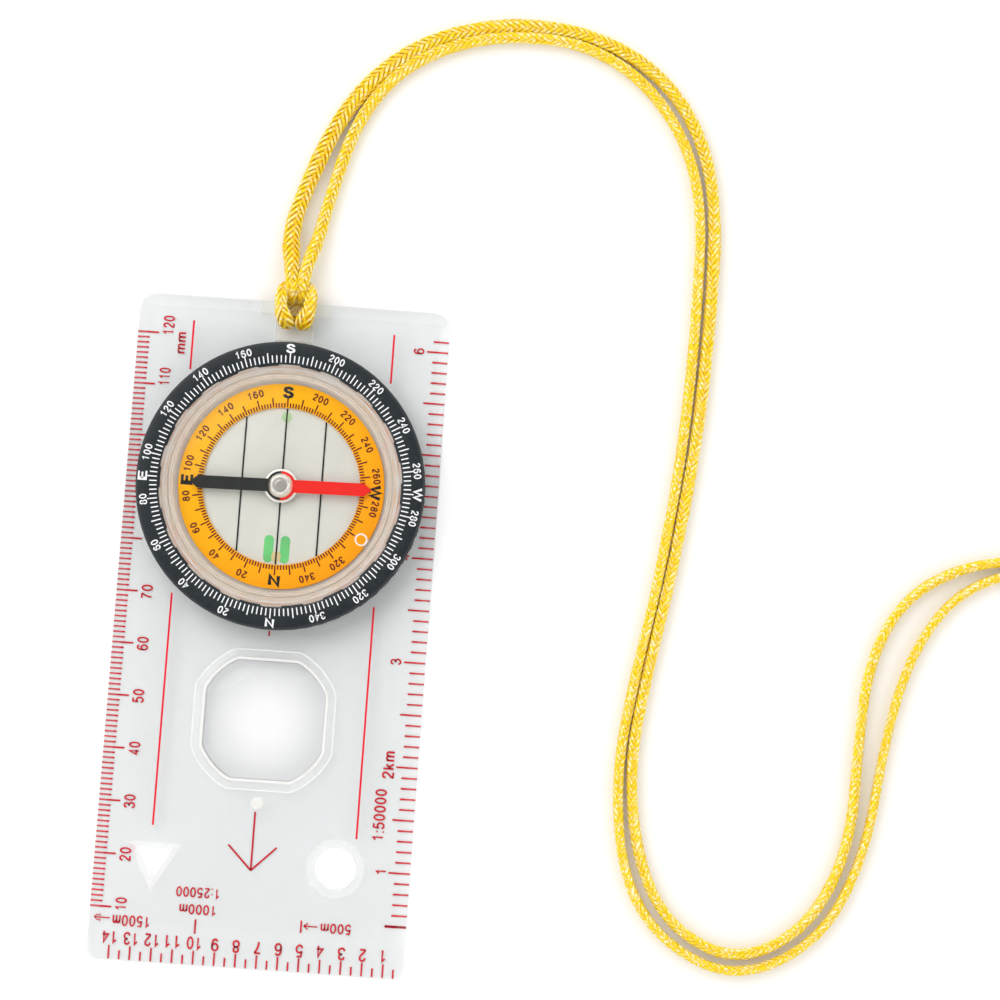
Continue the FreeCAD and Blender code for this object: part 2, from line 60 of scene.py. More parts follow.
def make_camera():
    """A long lens almost straight above the object, a little to the side of the baseplate."""
    data = bpy.data.cameras.new("camera")
    data.lens = LENS_LENGTH
    data.sensor_width = SENSOR_WIDTH
    data.clip_start = 0.01
    camera = bpy.data.objects.new("camera", data)
    bpy.context.scene.collection.objects.link(camera)
    camera.location = Vector(CAMERA_PLACE) * MM
    camera.rotation_mode = "ZYX"
    camera.rotation_euler = [math.radians(angle) for angle in CAMERA_TURN]
    bpy.context.scene.camera = camera


make_camera()


# --- Places taken from the CAD nodes ------------------------------------------------------------
def node_box(node):
    """Lowest and highest corner of a CAD node in millimetres."""
    low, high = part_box(node)
    return np.array(low) / MM, np.array(high) / MM


PLATE_LOW, PLATE_HIGH = node_box("baseplate")
RING_LOW, RING_HIGH = node_box("azimuth_ring")
CAPSULE_LOW, CAPSULE_HIGH = node_box("capsule_base")
LENS_LOW, LENS_HIGH = node_box("capsule_lens")
DISC_LOW, DISC_HIGH = node_box("dial_disc")
DIAL_LOW, DIAL_HIGH = node_box("dial_ring")
BLADE_LOW, BLADE_HIGH = node_box("needle_blade")
CAP_LOW, CAP_HIGH = node_box("needle_cap")
JEWEL_LOW, JEWEL_HIGH = node_box("jewel_bearing")
PLUG_LOW, PLUG_HIGH = node_box("filler_plug")
GLASS_LOW, GLASS_HIGH = node_box("magnifier_lens")
DIAL_CENTRE = (RING_LOW[:2] + RING_HIGH[:2]) / 2
GLASS_CENTRE = (GLASS_LOW + GLASS_HIGH) / 2
PLUG_CENTRE = (PLUG_LOW + PLUG_HIGH)[:2] / 2
RING_R = (RING_HIGH[0] - RING_LOW[0]) / 2
CAPSULE_R = (CAPSULE_HIGH[0] - CAPSULE_LOW[0]) / 2
LENS_R = (LENS_HIGH[0] - LENS_LOW[0]) / 2
DISC_R = (DISC_HIGH[0] - DISC_LOW[0]) / 2
DIAL_R = (DIAL_HIGH[0] - DIAL_LOW[0]) / 2
CAP_R = (CAP_HIGH[0] - CAP_LOW[0]) / 2
JEWEL_R = (JEWEL_HIGH[0] - JEWEL_LOW[0]) / 2
PLUG_R = (PLUG_HIGH[0] - PLUG_LOW[0]) / 2
PLATE_TOP = PLATE_HIGH[2]
PLATE_FRONT = PLATE_LOW[1]


# --- Meshes -------------------------------------------------------------------------------------
WELD = 0.0004                   # points nearer than this are one, in millimetres
PRINT_SHARP = 30.0              # printed lines keep every edge over this many degrees


def face_outwards(mesh, weld=0.0):
    """Welds points that are nearer than weld in millimetres, and turns the normals outwards."""
    work = bmesh.new()
    work.from_mesh(mesh)
    if weld:
        bmesh.ops.remove_doubles(work, verts=work.verts, dist=weld * MM)
    bmesh.ops.recalc_face_normals(work, faces=work.faces)
    work.to_mesh(mesh)
    work.free()


def put_piece(name, part, material, body, nodes=(), sharp=35.0, weld=True, extras=None):
    """Makes an object from one part, which is points in millimetres and faces. It welds the
    doubles, turns the normals outwards, smooths all but the sharp edges, gives the piece its
    material in a slot and its body, and hides the CAD nodes that it stands for."""
    points, faces = part
    mesh = bpy.data.meshes.new(name)
    mesh.from_pydata((np.asarray(points, float) * MM).tolist(), [], as_lists(faces))
    for key, values in (extras or {}).items():
        kind = "FLOAT" if values.ndim == 1 else "FLOAT_VECTOR"
        layer = mesh.attributes.new(key, kind, "POINT")
        layer.data.foreach_set("value" if values.ndim == 1 else "vector", values.ravel())
    face_outwards(mesh, WELD if weld else 0.0)
    mesh.shade_smooth()
    mesh.set_sharp_from_angle(angle=math.radians(sharp))
    mesh.materials.append(material)
    piece = bpy.data.objects.new(name, mesh)
    bpy.context.scene.collection.objects.link(piece)
    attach(piece, body)
    if nodes:
        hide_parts(*nodes)
    return piece


def put_print(name, part, material, body):
    """Printed lines or letters as a piece with sharp edges."""
    return put_piece(name, part, material, body, sharp=PRINT_SHARP)


def as_lists(faces):
    """Faces as plain lists, from an array or from a list of lists."""
    return faces.tolist() if isinstance(faces, np.ndarray) else faces


def stack(parts):
    """Several parts as one: the points one after another, and each part's faces moved on by the
    number of points before it."""
    points = np.concatenate([part[0] for part in parts])
    starts = np.cumsum([0] + [len(part[0]) for part in parts]).tolist()
    faces = []
    for (_, part_faces), start in zip(parts, starts):
        faces.extend([[corner + start for corner in face] for face in as_lists(part_faces)])
    return points, faces


def grid_faces(rows, columns, wrap_rows=False, wrap_columns=False):
    """Quads of a grid of points that is stored row by row. A wrapped way joins its last line of
    points to its first."""
    row = np.arange(rows if wrap_rows else rows - 1)[:, None]
    column = np.arange(columns if wrap_columns else columns - 1)[None, :]
    next_row = (row + 1) % rows
    next_column = (column + 1) % columns
    quads = [row * columns + column, next_row * columns + column,
             next_row * columns + next_column, row * columns + next_column]
    return np.stack(np.broadcast_arrays(*quads), axis=-1).reshape(-1, 4)


def tube_faces(rows, columns):
    """Faces of an open tube of sections, with a flat cap on its first and on its last section."""
    caps = [list(range(columns)), list(range((rows - 1) * columns, rows * columns))]
    return grid_faces(rows, columns, False, True).tolist() + caps


def around(centre, radius, angle, height=None):
    """Points at a distance and an angle from an upright axis: (x + r cos a, y + r sin a), and the
    height where one is given."""
    ways = [centre[0] + radius * np.cos(angle), centre[1] + radius * np.sin(angle)]
    if height is not None:
        ways.append(height)
    return np.stack(np.broadcast_arrays(*ways), axis=-1)


def band(inner, outer, low_z, high_z):
    """Corners (r, z) of a plain rectangular section."""
    return [(inner, low_z), (outer, low_z), (outer, high_z), (inner, high_z)]


def unit(vectors):
    """Vectors divided by their lengths, along the last axis."""
    return vectors / np.maximum(np.linalg.norm(vectors, axis=-1, keepdims=True), 1e-12)


def soft_corners(profile, radius, steps=3, closed=True):
    """Profile with its corners rounded: at each corner a quadratic curve runs from radius before
    the corner to radius after it, or from less than half of a side that is shorter."""
    corner = np.array(profile, float)
    to_before = np.roll(corner, 1, axis=0) - corner
    to_after = np.roll(corner, -1, axis=0) - corner
    reach_before = np.minimum(radius, 0.45 * np.linalg.norm(to_before, axis=1))[:, None]
    reach_after = np.minimum(radius, 0.45 * np.linalg.norm(to_after, axis=1))[:, None]
    start = (corner + unit(to_before) * reach_before)[:, None, :]
    end = (corner + unit(to_after) * reach_after)[:, None, :]
    along = np.linspace(0, 1, steps + 1)[None, :, None]
    middle = corner[:, None, :]
    curve = (1 - along) ** 2 * start + 2 * along * (1 - along) * middle + along ** 2 * end
    if closed:
        return curve.reshape(-1, 2)
    return np.concatenate([corner[:1], curve[1:-1].reshape(-1, 2), corner[-1:]])


def lathe(profile, count=240, closed=True, centre=None, shape=None):
    """Surface turned about an upright axis: the point at angle a on the profile's point (r, z) is
    (r cos a, r sin a, z). shape(a, r, z) may give a change of r at each angle. A closed profile is
    a loop clear of the axis, and an open one starts and ends on the axis."""
    centre = DIAL_CENTRE if centre is None else centre
    profile = np.asarray(profile, float)
    angle = np.linspace(0, 2 * np.pi, count, endpoint=False)[:, None]
    radius = np.broadcast_to(profile[None, :, 0], (count, len(profile))).copy()
    height = np.broadcast_to(profile[None, :, 1], (count, len(profile)))
    if shape is not None:
        radius += shape(angle, radius, height)
    points = around(centre, radius, angle, height)
    return points.reshape(-1, 3), grid_faces(count, len(profile), True, closed)


def slabs(start, end, width, low_z, high_z):
    """One thin bar for each pair of start and end points (x, y): four corners half the width to
    each side of the line, at the low and at the high level."""
    start = np.asarray(start, float).reshape(-1, 2)
    end = np.asarray(end, float).reshape(-1, 2)
    along = unit(end - start)
    side = np.stack([-along[:, 1], along[:, 0]], axis=1) * width / 2
    corners = np.stack([start - side, end - side, end + side, start + side], axis=1)
    low = np.concatenate([corners, np.full(corners.shape[:2] + (1,), low_z)], axis=2)
    high = np.concatenate([corners, np.full(corners.shape[:2] + (1,), high_z)], axis=2)
    points = np.concatenate([low, high], axis=1)
    sides = np.array([[0, 3, 2, 1], [4, 5, 6, 7], [0, 1, 5, 4], [1, 2, 6, 5], [2, 3, 7, 6],
                      [3, 0, 4, 7]])
    faces = sides[None] + 8 * np.arange(len(points))[:, None, None]
    return points.reshape(-1, 3), faces.reshape(-1, 4)


# Each letter is a plain stroke letter. Its first number is its width, and each stroke is a line
# through its corners, a curve through its points, or a ring (middle x and y, half width, half
# height). The middle of a stroke runs from 0 to 1 in height.
SIX = [(0.46, 0.84), (0.38, 0.96), (0.25, 1.0), (0.1, 0.92), (0.02, 0.72), (0.0, 0.5), (0.0, 0.31)]
LETTERS = {
    "0": (0.5, [("ring", (0.25, 0.5, 0.25, 0.5))]),
    "1": (0.5, [("line", [(0.04, 0.76), (0.2, 0.86), (0.3, 1.0), (0.3, 0.0)])]),
    "2": (0.5, [("curve", [(0.02, 0.72), (0.07, 0.9), (0.25, 1.0), (0.44, 0.9), (0.47, 0.7),
                           (0.36, 0.48), (0.14, 0.24), (0.0, 0.0)]),
                ("line", [(0.0, 0.0), (0.5, 0.0)])]),
    "3": (0.5, [("curve", [(0.02, 0.76), (0.08, 0.93), (0.25, 1.0), (0.43, 0.9), (0.44, 0.68),
                           (0.32, 0.55), (0.18, 0.53)]),
                ("curve", [(0.18, 0.53), (0.37, 0.51), (0.5, 0.38), (0.49, 0.14), (0.28, 0.0),
                           (0.08, 0.05), (0.0, 0.24)])]),
    "4": (0.52, [("line", [(0.38, 0.0), (0.38, 1.0), (0.0, 0.28), (0.52, 0.28)])]),
    "5": (0.5, [("line", [(0.46, 1.0), (0.1, 1.0), (0.03, 0.5)]),
                ("curve", [(0.03, 0.5), (0.14, 0.6), (0.3, 0.63), (0.47, 0.5), (0.49, 0.2),
                           (0.3, 0.0), (0.1, 0.03), (0.0, 0.22)])]),
    "6": (0.5, [("ring", (0.25, 0.31, 0.25, 0.31)), ("curve", SIX)]),
    "7": (0.5, [("line", [(0.0, 1.0), (0.5, 1.0)]),
                ("curve", [(0.5, 1.0), (0.31, 0.68), (0.19, 0.34), (0.15, 0.0)])]),
    "8": (0.5, [("ring", (0.25, 0.77, 0.21, 0.23)), ("ring", (0.25, 0.27, 0.25, 0.27))]),
    "9": (0.5, [("ring", (0.25, 0.69, 0.25, 0.31)),
                ("curve", [(0.5 - x, 1.0 - y) for x, y in SIX])]),
    ":": (0.06, [("line", [(-0.03, 0.0), (0.1, 0.0)]), ("line", [(-0.03, 0.62), (0.1, 0.62)])]),
    "m": (0.72, [("line", [(0.0, 0.0), (0.0, 0.74)]),
                 ("curve", [(0.0, 0.5), (0.08, 0.68), (0.22, 0.74), (0.34, 0.66), (0.36, 0.5),
                            (0.36, 0.0)]),
                 ("curve", [(0.36, 0.5), (0.44, 0.68), (0.58, 0.74), (0.7, 0.66), (0.72, 0.5),
                            (0.72, 0.0)])]),
    "k": (0.42, [("line", [(0.0, 0.0), (0.0, 1.0)]), ("line", [(0.38, 0.72), (0.0, 0.3)]),
                 ("line", [(0.14, 0.44), (0.42, 0.0)])]),
    "N": (0.66, [("line", [(0.0, 0.0), (0.0, 1.0), (0.66, 0.0), (0.66, 1.0)])]),
    "E": (0.56, [("line", [(0.56, 1.0), (0.0, 1.0), (0.0, 0.0), (0.58, 0.0)]),
                 ("line", [(0.0, 0.52), (0.5, 0.52)])]),
    "S": (0.6, [("curve", [(0.56, 0.74), (0.48, 0.93), (0.29, 1.0), (0.08, 0.93), (0.03, 0.74),
                           (0.16, 0.58), (0.42, 0.47), (0.58, 0.3), (0.52, 0.08), (0.3, 0.0),
                           (0.07, 0.07), (0.0, 0.28)])]),
    "W": (1.0, [("line", [(0.0, 1.0), (0.25, 0.0), (0.5, 1.0), (0.75, 0.0), (1.0, 1.0)])]),
}


LETTER_GAP = 0.12               # room between letters as a share of their height
STROKE_WEIGHT = 0.145           # width of a stroke as a share of the letter's height


def stroke_path(kind, points):
    """Middle line of a stroke, and whether it is closed. A curve passes through its points as a
    Catmull-Rom spline, and a ring is an ellipse."""
    if kind == "line":
        return np.array(points, float), False
    if kind == "ring":
        angle = np.linspace(0, 2 * np.pi, 28, endpoint=False)
        middle_x, middle_y, half_width, half_height = points
        return np.stack([middle_x + half_width * np.cos(angle),
                         middle_y + half_height * np.sin(angle)], 1), True
    points = np.array(points, float)
    ends = np.concatenate([2 * points[:1] - points[1:2], points, 2 * points[-1:] - points[-2:-1]])
    before, start, end, after = ends[:-3, None], ends[1:-2, None], ends[2:-1, None], ends[3:, None]
    t = np.linspace(0, 1, 5)[:-1][None, :, None]
    bend = 2 * before - 5 * start + 4 * end - after
    swing = 3 * start - before - 3 * end + after
    curve = 0.5 * (2 * start + (end - before) * t + bend * t ** 2 + swing * t ** 3)
    return np.concatenate([curve.reshape(-1, 2), points[-1:]]), False


def ribbon(path, closed, width, low_z, high_z):
    """Flat strip of even width along a line. Each side stands off the line along the bisector of
    its corner, further out the sharper the corner is, up to twice as far."""
    if closed:
        before, after = path - np.roll(path, 1, axis=0), np.roll(path, -1, axis=0) - path
    else:
        runs = np.diff(path, axis=0)
        before, after = np.concatenate([runs[:1], runs]), np.concatenate([runs, runs[-1:]])
    along = unit(unit(before) + unit(after))
    spread = 1 / np.maximum(np.sum(along * unit(after), axis=1, keepdims=True), 0.5)
    side = np.stack([-along[:, 1], along[:, 0]], 1) * spread * width / 2
    left, right = path + side, path - side
    low, high = np.full((len(path), 1), low_z), np.full((len(path), 1), high_z)
    pairs = ((left, low), (right, low), (right, high), (left, high))
    corners = [np.concatenate(pair, 1) for pair in pairs]
    faces = grid_faces(len(path), 4, True, True) if closed else tube_faces(len(path), 4)
    return np.stack(corners, axis=1).reshape(-1, 3), faces


def lettering(words, centre, height, turn, low_z, high_z, width=None,
              weight=STROKE_WEIGHT):
    """Words as thin solid stroke letters. The stroke is weight times the height. The whole word's
    outline box is scaled to the width, its middle is put on the origin, turned by turn degrees,
    and moved to centre."""
    stroke = weight * height
    size = height - stroke
    parts, cursor = [], 0.0
    for letter in words:
        letter_width, strokes = LETTERS[letter]
        for kind, points in strokes:
            path, closed = stroke_path(kind, points)
            parts.append(ribbon(path * size + (cursor, 0.0), closed, stroke, low_z, high_z))
        cursor += letter_width * size + stroke + LETTER_GAP * height
    points, faces = stack(parts)
    low, high = points[:, :2].min(0), points[:, :2].max(0)
    scale = 1.0 if width is None else width / (high - low)[0]
    flat = (points[:, :2] - (low + high) / 2) * (scale, 1.0)
    cosine, sine = math.cos(math.radians(turn)), math.sin(math.radians(turn))
    placed = np.stack([centre[0] + flat[:, 0] * cosine - flat[:, 1] * sine,
                       centre[1] + flat[:, 0] * sine + flat[:, 1] * cosine, points[:, 2]], axis=1)
    return placed, faces


def on_dial(radius, degrees):
    """Points at a distance and an angle from the housing's axis."""
    return around(DIAL_CENTRE, radius, np.radians(degrees))


# --- Materials ----------------------------------------------------------------------------------
def node(material, kind, inputs=None, **settings):
    """Adds a shader node, gives it its settings, and joins or sets each named input."""
    made = material.node_tree.nodes.new("ShaderNode" + kind)
    for name, value in settings.items():
        setattr(made, name, value)
    for name, value in (inputs or {}).items():
        if isinstance(value, bpy.types.NodeSocket):
            material.node_tree.links.new(value, made.inputs[name])
        else:
            made.inputs[name].default_value = value
    return made


def new_material(name):
    """Empty node material."""
    material = bpy.data.materials.new(name)
    material.use_nodes = True
    material.node_tree.nodes.clear()
    return material


def finish_with(material, shader):
    """Sends a shader's first output to the material's surface."""
    node(material, "OutputMaterial", {"Surface": shader.outputs[0]})
    return material


def blend(material, factor, first, second):
    """Colour between first and second by a factor from 0 to 1."""
    mix = node(material, "Mix", {0: factor, 6: first, 7: second}, data_type="RGBA")
    return mix.outputs[2]


def place(material):
    """Object coordinates in metres."""
    return node(material, "TexCoord").outputs["Object"]


def grain(material, scale, low, high, detail=3.0, vector=None):
    """Noise of a scale in repeats per metre, as a number from low to high."""
    vector = place(material) if vector is None else vector
    noise = node(material, "TexNoise", {"Vector": vector, "Scale": scale, "Detail": detail})
    spread = node(material, "MapRange", {"Value": noise.outputs["Fac"], "From Min": 0.3,
                                         "From Max": 0.7, "To Min": low, "To Max": high})
    return spread.outputs[0]


def relief(material, height, depth):
    """Bump of a depth in millimetres from a height between 0 and 1."""
    bump = node(material, "Bump", {"Height": height, "Strength": 1.0, "Distance": depth * MM})
    return bump.outputs["Normal"]


def let_light_through(material, body, shadow):
    """The body's shader for the eye, and plain see-through plastic for the lamps' rays."""
    through = node(material, "BsdfTransparent", {"Color": shadow + (1.0,)})
    rays = node(material, "LightPath")
    both = node(material, "MixShader", {0: rays.outputs["Is Shadow Ray"], 1: body.outputs[0],
                                        2: through.outputs[0]})
    return finish_with(material, both)


def glassy(material, tint, rubbed, height, depth, ior=1.49):
    """Clear solid with a tint, a roughness within the pair rubbed, and waves of a depth in
    millimetres in its surface."""
    return node(material, "BsdfPrincipled", {
        "Base Color": tint, "Roughness": grain(material, 1500.0, *rubbed), "IOR": ior,
        "Transmission Weight": 1.0, "Normal": relief(material, height, depth)})


def slow_waves(material):
    """Height of the slight waves that moulding leaves in clear plastic."""
    return grain(material, 220.0, 0.0, 1.0, detail=2.0)


def solid(material, tone, roughness, height, depth, specular=0.5, metallic=0.0, coat=0.0):
    """Plastic, paint, metal or yarn that light doesn't pass, with bumps of a depth in
    millimetres."""
    return node(material, "BsdfPrincipled", {
        "Base Color": tone, "Roughness": roughness, "Metallic": metallic,
        "Specular IOR Level": specular, "Coat Weight": coat,
        "Normal": relief(material, height, depth)})


def thinned(material, shader, see_through, tint):
    """The shader with a share of the light let straight through, in a tint."""
    through = node(material, "BsdfTransparent", {"Color": tint + (1.0,)})
    return node(material, "MixShader", {0: see_through, 1: shader.outputs[0],
                                        2: through.outputs[0]})


def milky(material, tone, lit_through):
    """White plastic that scatters light, a share of it on through to its other side."""
    milk = node(material, "BsdfDiffuse", {"Color": tone})
    glow = node(material, "BsdfTranslucent", {"Color": tone})
    return node(material, "MixShader", {0: lit_through, 1: milk.outputs[0], 2: glow.outputs[0]})


def plain_finish(name, colour, roughness, scale=900.0, shade=0.08, depth=0.002, metallic=0.0,
                 specular=0.5, coat=0.0):
    """Solid plastic, paint or metal: its colour varies by shade, its roughness by a quarter, and a
    fine grain of the given depth in millimetres lies on it."""
    material = new_material(name)
    darker = tuple(part * (1 - shade) for part in colour) + (1.0,)
    lighter = tuple(min(1.0, part * (1 + shade)) for part in colour) + (1.0,)
    tone = blend(material, grain(material, scale * 0.25, 0.0, 1.0), darker, lighter)
    uneven = grain(material, scale, roughness * 0.8, roughness * 1.25)
    fine = grain(material, scale * 3, 0.0, 1.0)
    return finish_with(material, solid(material, tone, uneven, fine, depth, specular, metallic, coat))


WAVES = 0.0006                  # depth of the waves in clear plastic, in millimetres


def clear_finish(name, tint, shadow, roughness, ior=1.49):
    """Clear plastic that bends light for the eye and lets the lamps' light straight through, with
    slight waves and rub marks in the surface."""
    material = new_material(name)
    rubbed = (roughness * 0.5, roughness * 1.5)
    body = glassy(material, tint + (1.0,), rubbed, slow_waves(material), WAVES, ior)
    return let_light_through(material, body, shadow)


def plate_finish():
    """Clear plastic of the baseplate. Its bevels and walls, where the surface isn't level, are
    frosted white and catch the light, the steeper the more: painted highlights for the bright lines
    that bevels and walls show."""
    material = new_material("clear_acrylic")
    clear = glassy(material, (0.93, 0.946, 0.944, 1.0), (0.01, 0.03), slow_waves(material), WAVES)
    facing = node(material, "NewGeometry").outputs["Normal"]
    upright = node(material, "SeparateXYZ", {"Vector": facing}).outputs["Z"]
    level = node(material, "Math", {0: upright}, operation="ABSOLUTE").outputs[0]
    # painted highlight: steeper faces get more white frost
    steep = node(material, "MapRange", {"Value": level, "From Min": 0.92, "From Max": 0.5,
                                        "To Min": 0.0, "To Max": 0.95}).outputs[0]
    edge_highlight = milky(material, (0.97, 0.975, 0.975, 1.0), 0.5)
    body = node(material, "MixShader", {0: steep, 1: clear.outputs[0], 2: edge_highlight.outputs[0]})
    return let_light_through(material, body, (0.965, 0.97, 0.97))


def frost_finish(name, see_through):
    """White translucent plastic, which lets a share of the light straight through."""
    material = new_material(name)
    tone = blend(material, grain(material, 2000.0, 0.0, 1.0), (0.9, 0.9, 0.88, 1.0),
                 (0.99, 0.98, 0.96, 1.0))
    shader = solid(material, tone, grain(material, 3000.0, 0.2, 0.4),
                   grain(material, 4000.0, 0.0, 1.0), 0.003)
    return finish_with(material, thinned(material, shader, see_through, (1.0, 0.99, 0.97)))


def distance_from(material, centre):
    """Distance in metres from an upright axis through a point given in millimetres."""
    offset = node(material, "VectorMath", {0: place(material),
                                           1: (centre[0] * MM, centre[1] * MM, 0.0)},
                  operation="SUBTRACT")
    flat = node(material, "VectorMath", {0: offset.outputs[0], 1: (1.0, 1.0, 0.0)},
                operation="MULTIPLY")
    return node(material, "VectorMath", {0: flat.outputs[0]}, operation="LENGTH").outputs["Value"]


CAPSULE_PAINTED_REFLECTIONS = (               # radius in millimetres and colour of each broken painted line: peach ones are painted reflections of the orange dial, the white one a painted glint
    (20.95, (0.97, 0.45, 0.12, 1.0)), (21.8, (0.97, 0.55, 0.25, 1.0)),
    (22.3, (1.0, 1.0, 1.0, 1.0)), (22.6, (0.90, 0.35, 0.18, 1.0)),
)


def capsule_finish():
    """Clear plastic of the capsule's wall: milky, with beige painted in for the light that goes round
    in it, and broken peach lines, painted reflections of the orange dial at the radii where it shows
    in its steps, with one white line that is a painted glint."""
    material = new_material("clear_capsule")
    streaks = grain(material, 260.0, 0.0, 1.0, detail=2.0)
    clear = glassy(material, (0.99, 0.975, 0.955, 1.0), (0.02, 0.06), streaks, WAVES)
    radius = distance_from(material, DIAL_CENTRE)
    # painted light: the beige streaks stand for the light that goes round in the wall
    tone = blend(material, streaks, (0.98, 0.87, 0.75, 1.0), (1.0, 0.98, 0.95, 1.0))
    # painted reflections of the orange dial, and one painted white glint, as broken rings
    for ring, colour in CAPSULE_PAINTED_REFLECTIONS:
        off = node(material, "Math", {0: radius, 1: ring * MM}, operation="SUBTRACT").outputs[0]
        away = node(material, "Math", {0: off}, operation="ABSOLUTE").outputs[0]
        line = node(material, "MapRange", {"Value": away, "From Min": 0.00008, "From Max": 0.0002,
                                           "To Min": 1.0, "To Max": 0.0}).outputs[0]
        broken = grain(material, 190.0 + 4000 * ring * MM, 0.0, 1.0, detail=1.0)
        shown = node(material, "Math", {0: line, 1: broken}, operation="MULTIPLY").outputs[0]
        tone = blend(material, shown, tone, colour)
    cloud = milky(material, tone, 0.4)
    body = node(material, "MixShader", {0: 0.5, 1: clear.outputs[0], 2: cloud.outputs[0]})
    return let_light_through(material, body, (0.98, 0.975, 0.97))


def magnifier_finish():
    """Clear lens plastic with painted shade: its tint is whitest in the middle and greyer towards
    its edge, where it is seen through more slantwise."""
    material = new_material("magnifier_plastic")
    distance = distance_from(material, GLASS_CENTRE)
    # painted shade: the tint greys from the middle out to the edge
    share = node(material, "MapRange", {"Value": distance, "From Min": 0.002, "From Max": 0.0135},
                 interpolation_type="SMOOTHSTEP").outputs[0]
    tint = blend(material, share, (1.0, 1.0, 1.0, 1.0), (0.86, 0.865, 0.87, 1.0))
    body = glassy(material, tint, (0.01, 0.03), slow_waves(material), 0.0004, ior=1.38)
    return let_light_through(material, body, (0.99, 0.99, 0.99))


def orange_finish():
    """Dial ring plastic with painted light: yellower at the left, which faces the light, and deeper
    orange in painted shade at the lower right.
    """
    material = new_material("orange_dial_plastic")
    spot = node(material, "SeparateXYZ", {"Vector": place(material)})
    slope = node(material, "Math", {0: spot.outputs["X"], 1: spot.outputs["Y"]},
                 operation="SUBTRACT")
    span = 0.028
    middle = -DIAL_CENTRE[1] * MM
    lean = node(material, "MapRange", {"Value": slope.outputs[0], "From Min": middle - span,
                                       "From Max": middle + span})
    # painted light: the tone runs from lit yellow at the upper left to shaded orange at the lower
    # right
    painted_light_tone = blend(material, lean.outputs[0], (1.0, 0.50, 0.0, 1.0), (1.0, 0.37, 0.0, 1.0))
    deeper = blend(material, 0.08, painted_light_tone, (0.9, 0.2, 0.0, 1.0))
    tone = blend(material, grain(material, 400.0, 0.0, 1.0), painted_light_tone, deeper)
    shader = solid(material, tone, grain(material, 1200.0, 0.32, 0.5),
                   grain(material, 3000.0, 0.0, 1.0), 0.002, specular=0.1)
    return finish_with(material, shader)


def cord_finish():
    """Glossy knitted polyester: golden yellow, with painted shade in dark orange down in the
    crossings, painted highlights as pale flecks where the yarns stand proud, and a grain of fine
    filaments along each yarn."""
    material = new_material("yellow_cord")
    along_yarn = node(material, "Attribute", attribute_name="fibre").outputs["Vector"]
    crease = node(material, "Attribute", attribute_name="crease").outputs["Fac"]

    def streaks(stretch, scale, low, high):
        """Noise drawn out along the yarns, from nought at low to one at high."""
        stretched = node(material, "VectorMath", {0: along_yarn, 1: stretch}, operation="MULTIPLY")
        noise = node(material, "TexNoise", {"Vector": stretched.outputs[0], "Scale": scale,
                                            "Detail": 2.0})
        return node(material, "MapRange", {"Value": noise.outputs["Fac"], "From Min": low,
                                           "From Max": high}).outputs[0]

    fibre = streaks((7.0, 0.9, 3.1), 1.6, 0.38, 0.62)
    highlight_fleck = streaks((1.7, 1.5, 5.7), 1.2, 0.50, 0.59)
    proud = node(material, "Math", {0: 1.0, 1: crease}, operation="SUBTRACT").outputs[0]
    # painted highlight: pale flecks on the parts of the yarns that stand proud
    pale = node(material, "Math", {0: highlight_fleck, 1: proud}, operation="MULTIPLY").outputs[0]
    face = blend(material, fibre, (0.93, 0.62, 0.002, 1.0), (0.98, 0.84, 0.012, 1.0))
    lit = blend(material, pale, face, (1.0, 1.0, 0.72, 1.0))
    patches = grain(material, 260.0, 0.0, 0.3, detail=1.0)
    toned = blend(material, patches, lit, (0.95, 0.66, 0.004, 1.0))
    # painted shade: dark orange where the yarns dip in at the crossings
    tone = blend(material, crease, toned, (0.80, 0.38, 0.0, 1.0))
    shader = solid(material, tone, grain(material, 1400.0, 0.3, 0.5), fibre, 0.03, specular=0.25)
    return finish_with(material, shader)


def seal_finish():
    """Thin rubber seal, beige and half see-through under the lens."""
    material = new_material("seal_rubber")
    tone = blend(material, grain(material, 500.0, 0.0, 1.0), (0.72, 0.62, 0.52, 1.0),
                 (0.84, 0.74, 0.64, 1.0))
    shader = solid(material, tone, grain(material, 900.0, 0.4, 0.6),
                   grain(material, 2500.0, 0.0, 1.0), 0.003)
    return finish_with(material, thinned(material, shader, 0.45, (0.97, 0.95, 0.93)))


CLEAR = plate_finish()
# White frost used for painted highlights: the bright lines round the magnifier and the bright ring of
# the filler plug.
HIGHLIGHT_FROST = frost_finish("highlight_frost", 0.35)
FAINT_FROST = frost_finish("frosted_mark", 0.75)
# The liquid that fills the real capsule takes away most of its inner shine, hence the low index.
CLEAR_LENS = clear_finish("clear_lens", (0.985, 0.985, 0.98), (0.985, 0.985, 0.98), 0.015, ior=1.28)
CLEAR_CAPSULE = capsule_finish()
MAGNIFIER = magnifier_finish()
BLACK = plain_finish("black_ring_plastic", (0.010, 0.015, 0.019), 0.36, depth=0.004, specular=0.4)
ORANGE = orange_finish()
CREAM = plain_finish("cream_dial_plastic", (0.65, 0.655, 0.60), 0.5, shade=0.03)
GREEN = plain_finish("luminous_green", (0.13, 0.56, 0.17), 0.55, shade=0.16, depth=0.006)
PALE_GREEN = plain_finish("luminous_pale", (0.42, 0.60, 0.32), 0.55, shade=0.14, depth=0.006)
PEACH = plain_finish("luminous_peach", (0.62, 0.50, 0.24), 0.55, shade=0.08, depth=0.003)
RED_PRINT = plain_finish("red_print", (0.72, 0.005, 0.022), 0.5, shade=0.08, specular=0.2)
DARK_PRINT = plain_finish("dark_red_print", (0.13, 0.006, 0.001), 0.6, shade=0.2, specular=0.2)
BLACK_PRINT = plain_finish("black_print", (0.012, 0.010, 0.010), 0.6, shade=0.2, specular=0.2)
WHITE_PRINT = plain_finish("white_print", (0.86, 0.87, 0.88), 0.45, shade=0.05)
